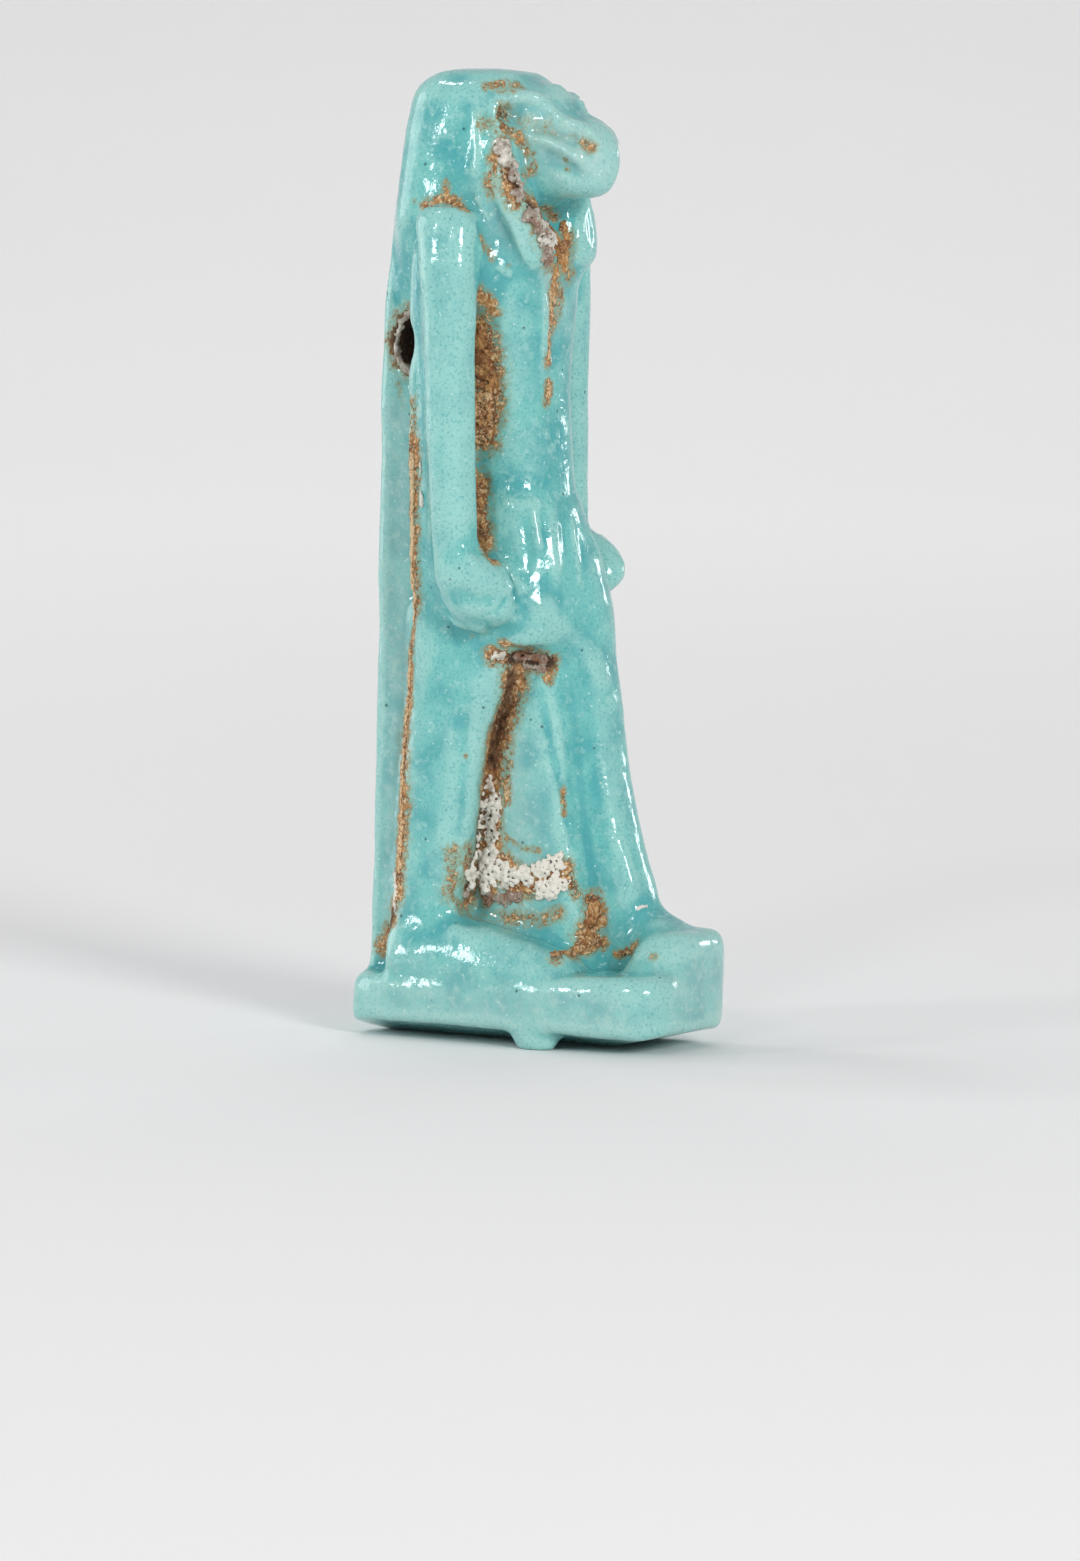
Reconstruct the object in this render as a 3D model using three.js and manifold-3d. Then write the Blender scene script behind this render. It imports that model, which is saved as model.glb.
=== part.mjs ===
// A small glazed faience amulet: an animal-headed figure striding with the left leg
// forward, arms straight down, a plain back pillar pierced from side to side, and a base.
// Millimetres. The figure faces -Y, its own left is +X, and the base stands on Z = 0.

import * as THREE from "three";
import { mergeVertices } from "three/addons/utils/BufferGeometryUtils.js";
import Module from "manifold-3d";

const wasm = await Module();
wasm.setup();

// Driving dimensions
const TOTAL_HEIGHT = 40.6;
const BASE_LENGTH = 15.1;
const BASE_WIDTH = 7.8;
const BASE_TOP = 3.0;
const BASE_TOP_ROUNDING = 0.6;
const BASE_UNDER_ROUNDING = 0.9;
const BASE_RISE = 0.047;
const BASE_SINK = 0.12;
const ARM_SPREAD = 9.2;
const ARM_THICKNESS = 1.9;
const LEG_SPREAD = 4.0;
const LEG_WIDTH = 2.3;
const PILLAR_WIDTH = 4.4;
const PILLAR_BACK = 7.0;
const BODY_BACK = 4.9;
const SHOULDER_HEIGHT = 34.9;
const WAIST_HEIGHT = 22.9;
const HEM_HEIGHT = 17.0;
const CHEST_FURROW_WIDTH = 0.75;
const LEG_FURROW_RADIUS = 0.32;
const HOLE_HEIGHT = 29.2;
const HOLE_BACK = 5.95;
const HOLE_RISE = 2.5;
const HOLE_RUN = 2.0;
const UNDERSIDE_LIFT = 0.85;
const UNDERSIDE_FLAT_FROM = -0.5;
const FRONT_LIFT = 0.85;
const FRONT_LIFT_FROM = -4.0;

// Section shapes: 2 is an ellipse, larger numbers are squarer
const ROUND = 2;
const SOFT = 2.5;
const BOXY = 4;
const SQUARE = 7;
const BASE_PLAN = 5.5;

// How finely the members are cut into facets
const AROUND = 22;
const ROW_HEIGHT = 1.3;
const ROUNDING_ROWS = 3;
const LEAST_END_SHARE = 0.3;

// A smooth curve through the named sizes of the stations, read at any place along them
function readStations(stations, key, at) {
  const last = stations.length - 1;
  let i = 0;
  while (i < last - 1 && at > stations[i + 1].at) {
    i += 1;
  }
  const from = stations[i];
  const to = stations[i + 1];
  const span = to.at - from.at;
  const t = THREE.MathUtils.clamp((at - from.at) / span, 0, 1);
  const before = stations[Math.max(i - 1, 0)];
  const after = stations[Math.min(i + 2, last)];
  const slopeIn = ((to[key] - before[key]) / (to.at - before.at)) * span;
  const slopeOut = ((after[key] - from[key]) / (after.at - from.at)) * span;
  const t2 = t * t;
  const t3 = t2 * t;
  return (
    (2 * t3 - 3 * t2 + 1) * from[key] +
    (t3 - 2 * t2 + t) * slopeIn +
    (3 * t2 - 2 * t3) * to[key] +
    (t3 - t2) * slopeOut
  );
}

// A cylinder bent through sections. Each station gives the section's left and right side
// (x0, x1) and its two other sides (y0, y1) at one place along the member. The edges of
// its two ends are rounded by the radii startRound and endRound.
function loft(stations, { shape = SOFT, around = AROUND, step = ROW_HEIGHT, startRound = 0, endRound = 0 }) {
  const start = stations[0].at;
  const end = stations[stations.length - 1].at;
  const places = rowPlaces(start, end, step, startRound, endRound);
  const rows = places.length - 1;
  const geometry = new THREE.CylinderGeometry(1, 1, 1, around, rows);
  geometry.deleteAttribute("normal");
  geometry.deleteAttribute("uv");
  const position = geometry.getAttribute("position");
  for (let i = 0; i < position.count; i += 1) {
    const row = Math.round((position.getY(i) + 0.5) * rows);
    const at = places[row];
    const inset = edgeInset(at - start, startRound) + edgeInset(end - at, endRound);
    const reach = Math.hypot(position.getX(i), position.getZ(i));
    const angle = Math.atan2(position.getX(i), position.getZ(i));
    const x = reach * squircle(Math.cos(angle), shape);
    const y = reach * squircle(Math.sin(angle), shape);
    const x0 = readStations(stations, "x0", at);
    const x1 = readStations(stations, "x1", at);
    const y0 = readStations(stations, "y0", at);
    const y1 = readStations(stations, "y1", at);
    const halfX = insetSize((x1 - x0) / 2, inset);
    const halfY = insetSize((y1 - y0) / 2, inset);
    position.setXYZ(i, (x0 + x1) / 2 + x * halfX, (y0 + y1) / 2 + y * halfY, at);
  }
  return mergeVertices(geometry, 1e-5);
}

// Rows close up towards a rounded end, so that its edge is a true arc
function rowPlaces(start, end, step, startRound, endRound) {
  const places = [];
  for (let i = 0; i < ROUNDING_ROWS && startRound > 0; i += 1) {
    const turn = (i / ROUNDING_ROWS) * (Math.PI / 2);
    places.push(start + startRound * (1 - Math.cos(turn)));
  }
  const from = start + startRound;
  const to = end - endRound;
  const rows = Math.max(1, Math.round((to - from) / step));
  for (let i = 0; i <= rows; i += 1) {
    places.push(THREE.MathUtils.lerp(from, to, i / rows));
  }
  for (let i = ROUNDING_ROWS - 1; i >= 0 && endRound > 0; i -= 1) {
    const turn = (i / ROUNDING_ROWS) * (Math.PI / 2);
    places.push(end - endRound * (1 - Math.cos(turn)));
  }
  return places;
}

function edgeInset(distance, round) {
  if (distance >= round) {
    return 0;
  }
  return round - Math.sqrt(round ** 2 - (round - distance) ** 2);
}

function insetSize(half, inset) {
  return Math.max(half - inset, half * LEAST_END_SHARE);
}

function squircle(value, power) {
  const size = Math.abs(value);
  return size < 1e-9 ? 0 : Math.sign(value) * size ** (2 / power);
}

// A member lofted along Y instead of Z: its y0 and y1 are heights
function alongY(geometry) {
  const swap = new THREE.Matrix4().set(1, 0, 0, 0, 0, 0, 1, 0, 0, 1, 0, 0, 0, 0, 0, 1);
  geometry.applyMatrix4(swap);
  const index = geometry.getIndex();
  for (let i = 0; i < index.count; i += 3) {
    const second = index.getX(i + 1);
    index.setX(i + 1, index.getX(i + 2));
    index.setX(i + 2, second);
  }
  return geometry;
}

// A thin round bar that follows a smooth curve
function tube(points, radius) {
  const section = new THREE.Shape().absellipse(0, 0, radius, radius, 0, 2 * Math.PI);
  const route = new THREE.CatmullRomCurve3(points);
  return new THREE.ExtrudeGeometry(section, { steps: 6, curveSegments: 4, extrudePath: route });
}

function solid(geometry) {
  const clean = geometry.clone();
  clean.deleteAttribute("normal");
  clean.deleteAttribute("uv");
  const merged = mergeVertices(clean, 1e-5);
  return new wasm.Manifold(
    new wasm.Mesh({
      numProp: 3,
      vertProperties: new Float32Array(merged.getAttribute("position").array),
      triVerts: new Uint32Array(merged.getIndex().array),
    }),
  );
}

// A section centred on the middle plane
function centred(at, width, y0, y1) {
  return { at, x0: -width / 2, x1: width / 2, y0, y1 };
}

// A section centred on one side of the figure
function sided(at, centre, width, y0, y1) {
  return { at, x0: centre - width / 2, x1: centre + width / 2, y0, y1 };
}

// Head: the wig with its two front bands, and the animal's face
function wig() {
  return loft(
    [
      centred(30.2, PILLAR_WIDTH, 3.0, PILLAR_BACK - 0.4),
      centred(32.4, 6.0, 1.8, 6.45),
      centred(34.2, 7.7, 0.8, 6.3),
      centred(36.5, 7.5, 0.3, 6.1),
      centred(38.4, 7.1, 0.3, 5.95),
      centred(39.7, 6.4, 0.4, 5.7),
      centred(TOTAL_HEIGHT, 5.4, 0.5, 5.3),
    ],
    { shape: 2.8, endRound: 1.1 },
  );
}

// The skull and cheeks, from the forehead down to the jaw
function face() {
  return alongY(
    loft(
      [
        centred(-1.3, 2.2, 35.5, 39.15),
        centred(-0.5, 3.1, 35.0, 39.75),
        centred(0.5, 4.1, 34.6, 40.15),
        centred(2.0, 5.0, 34.2, 40.2),
      ],
      { shape: SOFT, step: 0.8, startRound: 0.7 },
    ),
  );
}

// The muzzle droops to a blunt, rounded tip
function muzzle() {
  return alongY(
    loft(
      [
        centred(-3.3, 1.5, 35.7, 37.9),
        centred(-2.6, 1.9, 35.4, 38.35),
        centred(-1.6, 2.6, 35.3, 38.75),
        centred(0.0, 3.8, 35.1, 38.9),
      ],
      { shape: SOFT, step: 0.8, startRound: 1.0 },
    ),
  );
}

// A ridge that arches over the eye and runs down to the muzzle
function brow(side) {
  return tube(
    [
      new THREE.Vector3(side * 2.0, 1.4, 39.15),
      new THREE.Vector3(side * 1.6, 0.3, 39.4),
      new THREE.Vector3(side * 1.0, -0.5, 39.15),
      new THREE.Vector3(side * 0.7, -1.6, 38.25),
    ],
    0.32,
  );
}

// The line of the mouth, cut in from the cheek to the tip
function mouth(side) {
  return tube(
    [
      new THREE.Vector3(side * 2.0, -0.4, 37.35),
      new THREE.Vector3(side * 1.65, -1.2, 37.0),
      new THREE.Vector3(side * 1.2, -2.2, 36.4),
      new THREE.Vector3(side * 0.7, -3.2, 35.7),
    ],
    0.2,
  );
}

function eyeHollow(side) {
  const hollow = new THREE.SphereGeometry(1, 12, 8);
  hollow.scale(0.4, 0.75, 0.4);
  hollow.translate(side * 2.15, 0.45, 38.7);
  return hollow;
}

// A front band of the wig. The left one hangs straighter than the right one
function lappet(side, foot, breast, neck) {
  return loft(
    [
      sided(32.0, side * foot, 1.9, -0.95, 0.8),
      sided(33.3, side * breast, 2.3, -1.0, 1.2),
      sided(34.8, side * neck, 2.4, -0.75, 1.8),
      sided(36.4, side * 2.65, 2.0, 0.0, 2.2),
      sided(39.4, side * 2.2, 1.5, 0.7, 2.4),
    ],
    { shape: 2.8, startRound: 0.6, endRound: 0.6, around: 16 },
  );
}

// The dirt-filled furrow down the middle of the chest
function chestFurrow() {
  const furrow = new THREE.BoxGeometry(CHEST_FURROW_WIDTH, CHEST_FURROW_WIDTH, 5.4);
  furrow.rotateZ(Math.PI / 4);
  furrow.translate(0, -0.75, 31.0);
  return furrow;
}

// Body
function torso() {
  return loft(
    [
      centred(WAIST_HEIGHT - 1.5, 5.6, -1.1, BODY_BACK),
      centred(WAIST_HEIGHT + 1.5, 5.2, -0.75, BODY_BACK),
      centred(27.5, 5.6, -0.45, BODY_BACK),
      centred(30.5, 6.6, -0.5, BODY_BACK),
      centred(33.0, 7.6, -0.4, BODY_BACK),
      centred(SHOULDER_HEIGHT + 0.2, 7.8, 0.6, BODY_BACK),
    ],
    { shape: 2.8, endRound: 0.8 },
  );
}

// The shoulders join the arms to the chest under the wig
function shoulders() {
  return loft(
    [
      centred(30.6, 8.2, 1.0, 3.9),
      centred(32.8, 9.6, 0.45, 4.1),
      centred(SHOULDER_HEIGHT, 9.4, 0.6, 4.2),
    ],
    { shape: 3, step: 1.5, startRound: 0.8, endRound: 1.0 },
  );
}

// The wall of material left between each arm and the body. It runs down into the right
// leg on one side and into the web between the legs on the other
function sideWall() {
  return loft(
    [
      { at: 13.0, x0: -2.95, x1: 1.9, y0: 3.0, y1: BODY_BACK - 0.4 },
      { at: 16.5, x0: -3.7, x1: 3.2, y0: 2.3, y1: BODY_BACK - 0.4 },
      centred(19.5, 8.7, 1.8, BODY_BACK - 0.5),
      centred(24.0, 9.0, 1.9, BODY_BACK - 0.4),
      centred(33.5, 9.0, 1.9, BODY_BACK - 0.3),
    ],
    { shape: BOXY, step: 2.2, endRound: 0.6 },
  );
}

function kilt() {
  return loft(
    [
      centred(HEM_HEIGHT - 0.4, 6.5, -1.75, BODY_BACK),
      centred(18.2, 6.8, -1.95, BODY_BACK),
      centred(20.4, 6.3, -1.8, BODY_BACK),
      centred(WAIST_HEIGHT + 0.2, 5.7, -1.05, BODY_BACK),
    ],
    { shape: SOFT, startRound: 0.4, endRound: 0.5 },
  );
}

function arm(side) {
  const spread = (side * ARM_SPREAD) / 2;
  return loft(
    [
      sided(18.9, spread * 0.98, ARM_THICKNESS, 0.5, 2.4),
      sided(23.0, spread * 1.02, ARM_THICKNESS, 0.75, 2.8),
      sided(28.5, spread * 1.04, ARM_THICKNESS * 1.05, 0.85, 3.05),
      sided(32.5, spread * 1.01, ARM_THICKNESS * 1.15, 0.8, 3.3),
      sided(SHOULDER_HEIGHT, spread * 0.92, ARM_THICKNESS * 1.15, 0.9, 3.8),
    ],
    { shape: 2.4, startRound: 0.6, endRound: 0.7, around: 20 },
  );
}

// A closed fist, whose underside draws in towards the kilt
function fist(side, lift, reach) {
  const spread = (side * ARM_SPREAD * 0.97) / 2;
  return loft(
    [
      sided(17.4 + lift, spread * 0.87, ARM_THICKNESS * 0.95, 0.0, 2.2),
      sided(18.6 + lift, spread * 0.94, ARM_THICKNESS * 1.05, -reach, 2.4),
      sided(19.6 + lift, spread, ARM_THICKNESS * 1.1, 0.1 - reach, 2.5),
      sided(21.0 + lift, spread, ARM_THICKNESS, 0.4, 2.5),
    ],
    { shape: SOFT, step: 0.7, startRound: 0.7, endRound: 0.8, around: 20 },
  );
}

// Legs: the right one stands back against the pillar and the left one strides forward
function rightLeg() {
  const x = -LEG_SPREAD / 2;
  return loft(
    [
      sided(BASE_TOP - 0.6, x, LEG_WIDTH * 1.05, 2.7, 5.8),
      sided(5.6, x, LEG_WIDTH, 2.5, 5.7),
      sided(9.0, x, LEG_WIDTH, 1.95, 5.5),
      sided(12.5, x, LEG_WIDTH * 1.05, 1.45, 5.2),
      sided(15.0, x + 0.1, LEG_WIDTH * 1.15, 0.5, 5.1),
      sided(HEM_HEIGHT + 1.2, x + 0.1, LEG_WIDTH * 1.2, -0.2, 5.1),
    ],
    { shape: 2.8, step: 1.8 },
  );
}

function leftLeg() {
  const x = LEG_SPREAD / 2;
  return loft(
    [
      sided(BASE_TOP - 0.6, x - 0.3, LEG_WIDTH * 1.2, -5.2, -2.0),
      sided(5.8, x - 0.35, LEG_WIDTH * 1.3, -4.75, -1.7),
      sided(9.0, x - 0.35, LEG_WIDTH * 1.35, -3.65, -0.6),
      sided(13.5, x - 0.4, LEG_WIDTH * 1.45, -2.8, 0.7),
      sided(HEM_HEIGHT + 0.6, x - 0.7, LEG_WIDTH * 1.8, -2.45, 2.0),
      sided(20.5, x - 1.3, LEG_WIDTH * 1.8, -1.9, 2.0),
      sided(WAIST_HEIGHT - 0.3, x - 1.7, LEG_WIDTH * 1.6, -0.9, 2.0),
    ],
    { shape: 2.3, step: 1.8, endRound: 0.6 },
  );
}

// The web of faience that fills the space between the legs
function legWeb() {
  return loft(
    [
      sided(BASE_TOP - 0.4, 0.4, 3.4, -3.2, 5.6),
      sided(9.0, 0.4, 3.3, -2.1, 5.6),
      sided(HEM_HEIGHT + 0.8, 0.2, 3.4, -1.1, 5.6),
    ],
    { shape: BOXY, step: 3, around: 28 },
  );
}

// The deep furrow where that web meets the right leg
function legFurrow() {
  return tube(
    [
      new THREE.Vector3(-1.5, -0.6, HEM_HEIGHT - 0.2),
      new THREE.Vector3(-1.45, 0.15, 15.3),
      new THREE.Vector3(-1.35, 1.3, 13.3),
      new THREE.Vector3(-1.3, 1.7, 11.0),
      new THREE.Vector3(-1.3, 2.0, 8.0),
      new THREE.Vector3(-1.3, 2.3, BASE_TOP + 2.2),
    ],
    LEG_FURROW_RADIUS,
  );
}

// The right foot stands flat and low, and the left one runs out to the front of the base
function rightFoot() {
  const x = -LEG_SPREAD / 2 - 0.1;
  return alongY(
    loft(
      [
        sided(-3.4, x, 2.9, BASE_TOP - 1.9, BASE_TOP + 0.65),
        sided(-1.4, x, 3.4, BASE_TOP - 1.9, BASE_TOP + 1.35),
        sided(0.6, x, 3.5, BASE_TOP - 1.9, BASE_TOP + 1.85),
        sided(2.8, x, 3.4, BASE_TOP - 1.9, BASE_TOP + 2.25),
        sided(5.6, x, 3.0, BASE_TOP - 1.9, BASE_TOP + 2.3),
      ],
      { shape: 2.2, startRound: 0.8, endRound: 0.6, around: 20 },
    ),
  );
}

function leftFoot() {
  const toe = -BASE_LENGTH / 2;
  return alongY(
    loft(
      [
        { at: toe + 0.5, x0: -1.2, x1: 3.6, y0: 0.6, y1: BASE_TOP + 1.9 },
        { at: toe + 1.4, x0: -0.9, x1: 3.6, y0: 0.8, y1: BASE_TOP + 2.1 },
        { at: -3.8, x0: 0.4, x1: 3.4, y0: BASE_TOP - 0.9, y1: BASE_TOP + 3.0 },
        { at: -0.2, x0: 0.8, x1: 3.2, y0: BASE_TOP - 0.9, y1: BASE_TOP + 2.2 },
      ],
      { shape: 2.3, startRound: 0.7, endRound: 0.8, around: 22 },
    ),
  );
}

// The toes are one upright face with the front of the base
function toeBlock() {
  const toe = -BASE_LENGTH / 2;
  return loft(
    [
      { at: 1.2, x0: -2.6, x1: 3.8, y0: toe + 0.05, y1: -4.5 },
      { at: BASE_TOP + 0.3, x0: -1.9, x1: 3.75, y0: toe + 0.05, y1: -4.6 },
      { at: BASE_TOP + 1.9, x0: -0.6, x1: 3.6, y0: toe + 0.1, y1: -5.0 },
    ],
    { shape: 3, step: 1.2, endRound: 0.6, around: 22 },
  );
}

// Back pillar, with its top sloping into the back of the wig
function pillar() {
  return loft(
    [
      centred(BASE_TOP - 0.6, PILLAR_WIDTH * 1.05, 4.0, PILLAR_BACK + 0.1),
      centred(14.0, PILLAR_WIDTH, 4.0, PILLAR_BACK),
      centred(27.5, PILLAR_WIDTH, 4.0, PILLAR_BACK),
      centred(31.0, PILLAR_WIDTH, 3.8, PILLAR_BACK - 0.15),
      centred(36.5, PILLAR_WIDTH * 0.95, 3.2, PILLAR_BACK - 0.7),
    ],
    { shape: SQUARE, step: 2.4, endRound: 0.8, around: 24 },
  );
}

// The base, whose top rises a little from the heel to the toes
function base() {
  const half = BASE_LENGTH / 2;
  const block = loft(
    [
      centred(-BASE_SINK, BASE_WIDTH, -half, half),
      centred(BASE_TOP, BASE_WIDTH, -half, half),
    ],
    { shape: BASE_PLAN, step: 1, startRound: BASE_UNDER_ROUNDING, endRound: BASE_TOP_ROUNDING, around: 36 },
  );
  const position = block.getAttribute("position");
  for (let i = 0; i < position.count; i += 1) {
    const share = position.getZ(i) / BASE_TOP;
    position.setZ(i, position.getZ(i) - share * BASE_RISE * position.getY(i));
  }
  return block;
}

// Everything under the base is cut away, so that it stands on a true flat
function ground() {
  const slab = new THREE.BoxGeometry(2 * BASE_LENGTH, 2 * BASE_LENGTH, 1);
  slab.translate(0, 0, -0.5);
  return slab;
}

// The underside rises towards the figure's right; a drip of glaze under that edge keeps
// the base level
function undersideWedge() {
  const reach = BASE_WIDTH;
  const slope = Math.atan2(UNDERSIDE_LIFT, BASE_WIDTH / 2 + UNDERSIDE_FLAT_FROM);
  const block = new THREE.BoxGeometry(reach, BASE_LENGTH * 1.5, reach);
  block.translate(-reach / 2, 0, -reach / 2);
  block.rotateY(slope);
  block.translate(UNDERSIDE_FLAT_FROM, 0, 0);
  return block;
}

// The underside also rises a little under the toes
function frontWedge() {
  const reach = BASE_WIDTH;
  const slope = Math.atan2(FRONT_LIFT, BASE_LENGTH / 2 + FRONT_LIFT_FROM);
  const block = new THREE.BoxGeometry(reach * 2, reach, reach);
  block.translate(0, -reach / 2, -reach / 2);
  block.rotateX(-slope);
  block.translate(0, FRONT_LIFT_FROM, 0);
  return block;
}

function drip() {
  return loft(
    [
      { at: 0, x0: -3.75, x1: -2.6, y0: -2.7, y1: -1.0 },
      { at: 0.6, x0: -3.85, x1: -2.2, y0: -2.9, y1: -0.6 },
      { at: 1.5, x0: -3.7, x1: -1.8, y0: -3.0, y1: -0.4 },
    ],
    { shape: ROUND, step: 0.5, around: 14 },
  );
}

function suspensionHole() {
  const hole = new THREE.CylinderGeometry(HOLE_RUN / 2, HOLE_RUN / 2, 2 * ARM_SPREAD, 20);
  hole.scale(1, 1, HOLE_RISE / HOLE_RUN);
  hole.rotateZ(Math.PI / 2);
  hole.translate(0, HOLE_BACK - HOLE_RUN / 2, HOLE_HEIGHT);
  return hole;
}

const members = [
  wig(), face(), muzzle(), brow(-1), brow(1), lappet(-1, 1.35, 1.75, 2.35), lappet(1, 1.7, 1.85, 1.95),
  torso(), shoulders(), sideWall(), kilt(), arm(-1), arm(1),
  fist(-1, 0, 0.85), fist(1, 0.5, 1.35),
  rightLeg(), leftLeg(), legWeb(), rightFoot(), leftFoot(), toeBlock(), pillar(), base(),
];
const cuts = [
  mouth(-1), mouth(1), eyeHollow(-1), eyeHollow(1), chestFurrow(), legFurrow(),
  suspensionHole(), undersideWedge(), frontWedge(), ground(),
];

const body = wasm.Manifold.union(members.map(solid))
  .subtract(wasm.Manifold.union(cuts.map(solid)))
  .add(solid(drip()));

// Moulded faience has no closed gaps inside, so only the outer skin is kept
const skin = body.decompose().reduce((a, b) => (a.volume() > b.volume() ? a : b));
const joined = skin.getMesh();
const geometry = new THREE.BufferGeometry();
geometry.setAttribute("position", new THREE.BufferAttribute(joined.vertProperties, 3));
geometry.setIndex(new THREE.BufferAttribute(joined.triVerts, 1));
geometry.computeVertexNormals();

const glaze = new THREE.MeshStandardMaterial({ color: 0x6fc9c2, roughness: 0.28, metalness: 0 });
const amulet = new THREE.Mesh(geometry, glaze);
amulet.name = "amulet";

const group = new THREE.Group();
group.add(amulet);

export default group;
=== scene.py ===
# A small glazed faience amulet: a striding animal-headed figure on a base, with a pierced
# back pillar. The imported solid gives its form; this file gives it the glaze, the finer
# relief and the earth and lime that have set in its hollows, and puts it in a pale studio.
import math
import random

import bmesh
import bpy
import numpy as np
from bpy.props import FloatProperty, FloatVectorProperty, IntProperty, PointerProperty
from mathutils import Matrix, Vector, noise
from mathutils.bvhtree import BVHTree


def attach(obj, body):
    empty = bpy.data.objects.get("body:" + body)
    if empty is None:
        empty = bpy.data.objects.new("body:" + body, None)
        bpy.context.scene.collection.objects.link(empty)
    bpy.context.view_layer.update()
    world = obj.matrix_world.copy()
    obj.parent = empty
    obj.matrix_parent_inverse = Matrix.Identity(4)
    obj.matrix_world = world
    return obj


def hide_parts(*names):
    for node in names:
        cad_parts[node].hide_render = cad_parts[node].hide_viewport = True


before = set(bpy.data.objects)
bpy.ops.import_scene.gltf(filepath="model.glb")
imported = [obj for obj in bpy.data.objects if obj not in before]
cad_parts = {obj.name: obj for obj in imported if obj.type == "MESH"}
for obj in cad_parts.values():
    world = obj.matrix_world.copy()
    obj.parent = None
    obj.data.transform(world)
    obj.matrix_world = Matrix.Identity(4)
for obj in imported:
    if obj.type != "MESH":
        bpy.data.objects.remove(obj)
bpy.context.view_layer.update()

bl_info = {
    "name": "Faience amulet",
    "version": (1, 0, 0),
    "blender": (4, 5, 0),
    "location": "View3D > Sidebar > Amulet",
    "description": "Glaze, fine relief and hollow fillings of a small faience amulet",
    "category": "Object",
}

MM = 0.001


# Colours

def linear(code):
    """The linear colour of an sRGB hex value."""
    parts = [int(code[i : i + 2], 16) / 255 for i in (1, 3, 5)]
    return [p / 12.92 if p <= 0.04045 else ((p + 0.055) / 1.055) ** 2.4 for p in parts]


def colour(label, about, code):
    """A colour property whose default is an sRGB hex value."""
    return FloatVectorProperty(
        name=label, description=about, subtype="COLOR", size=3, min=0, max=1, default=linear(code)
    )


def length(label, about, metres):
    """A length property, in metres."""
    return FloatProperty(
        name=label, description=about, subtype="DISTANCE", unit="LENGTH", default=metres, precision=5
    )


def power(label, about, watts):
    """A lamp's power, in watts."""
    return FloatProperty(name=label, description=about, unit="POWER", default=watts)


class AmuletSizes(bpy.types.PropertyGroup):
    """Sizes of the relief and of the fillings."""

    grid: length("Surface grid", "Spacing of the faces that carry the relief", 0.145 * MM)
    crumb_grid: length("Crumb grid", "Spacing of the faces of the crusts", 0.045 * MM)
    swell: length("Undulation", "Height of the slow unevenness under the glaze", 0.06 * MM)
    ripple: length("Ripple", "Height of the fine unevenness of the fired glaze", 0.014 * MM)
    edge_softening: IntProperty(
        name="Edge softening", description="Rounds of smoothing on the tight edges of the base", default=9
    )
    softening: IntProperty(
        name="Softening", description="Rounds of smoothing that round the carving off", default=24
    )
    plane_softening: IntProperty(
        name="Plane softening", description="Rounds of smoothing on the broad faces", default=110
    )
    melting: IntProperty(
        name="Melting", description="Rounds of smoothing where the glaze drowned an edge", default=120
    )


class AmuletColours(bpy.types.PropertyGroup):
    """Colours of the glaze, the earth and the lime."""

    glaze: colour("Glaze", "The common turquoise of the glaze", "#74C1BC")
    pale_glaze: colour("Pale glaze", "Thin glaze on ridges and edges", "#A2D6CE")
    deep_glaze: colour("Deep glaze", "Thick glaze where it ran together", "#43A1A6")
    # Pale quartz grains, also used for painted glints scattered over the glaze
    quartz_and_glint: colour("Quartz", "Pale grains of quartz that show through the glaze", "#C9E6DF")
    worn_glaze: colour("Worn glaze", "Glaze worn thin", "#B5D0C8")
    speck: colour("Speck", "Dark grains in the glaze", "#1F4F55")
    stain: colour("Stain", "Glaze stained by the earth beside it", "#9A9468")
    earth: colour("Earth", "Dry tan earth", "#B58551")
    sand: colour("Sand", "Pale sandy grains in the earth", "#E2C69C")
    brown_earth: colour("Brown earth", "Brown clay in the earth", "#7C4E2B")
    # Dark brown earth, also used for painted shade in the deep recesses and between the grains of the earth crumbs
    dark_earth_and_shade: colour("Dark earth", "Damp brown earth deep in the furrows", "#35241A")
    lime: colour("Lime", "White lime of the crusts", "#E6E1D6")
    grey_lime: colour("Grey lime", "Grey lime of the crusts", "#A79F92")
    pink_lime: colour("Pink lime", "Pinkish brown lime of the crusts", "#8E7364")
    # Black dirt between the crumbs, also used for painted shade in the crust's hollows
    soot_and_shade: colour("Soot", "Black dirt between the crumbs", "#241C17")
    floor: colour("Floor", "The pale studio floor", "#F1F0F0")


class AmuletStudio(bpy.types.PropertyGroup):
    """Light of the studio."""

    key: power("Key light", "Power of the key light", 1.1)
    fill: power("Fill light", "Power of the fill light", 0.38)
    front: power("Front light", "Power of the light over the camera", 0.22)
    side: power("Side light", "Power of the broad light at the left", 0.75)
    rim: power("Rim light", "Power of the light at the far right", 0.16)
    top: power("Top light", "Power of the top light", 0.18)
    back: power("Back light", "Power of the backdrop light", 1.3)
    sky: FloatProperty(name="Sky", description="Strength of the even light around", default=0.38)


# Meshes

def points_of(mesh):
    """The vertices of a mesh as an array of places."""
    flat = np.empty(len(mesh.vertices) * 3, np.float64)
    mesh.vertices.foreach_get("co", flat)
    return flat.reshape(-1, 3)


def set_points(mesh, points):
    """Puts an array of places back on a mesh."""
    mesh.vertices.foreach_set("co", points.astype(np.float32).ravel())
    mesh.update()


def normals_of(mesh):
    """The outward normal at each vertex."""
    flat = np.empty(len(mesh.vertices) * 3, np.float32)
    mesh.vertex_normals.foreach_get("vector", flat)
    return flat.reshape(-1, 3).astype(np.float64)


def edges_of(mesh):
    """The two vertices of each edge."""
    flat = np.empty(len(mesh.edges) * 2, np.int32)
    mesh.edges.foreach_get("vertices", flat)
    return flat.reshape(-1, 2)


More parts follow.
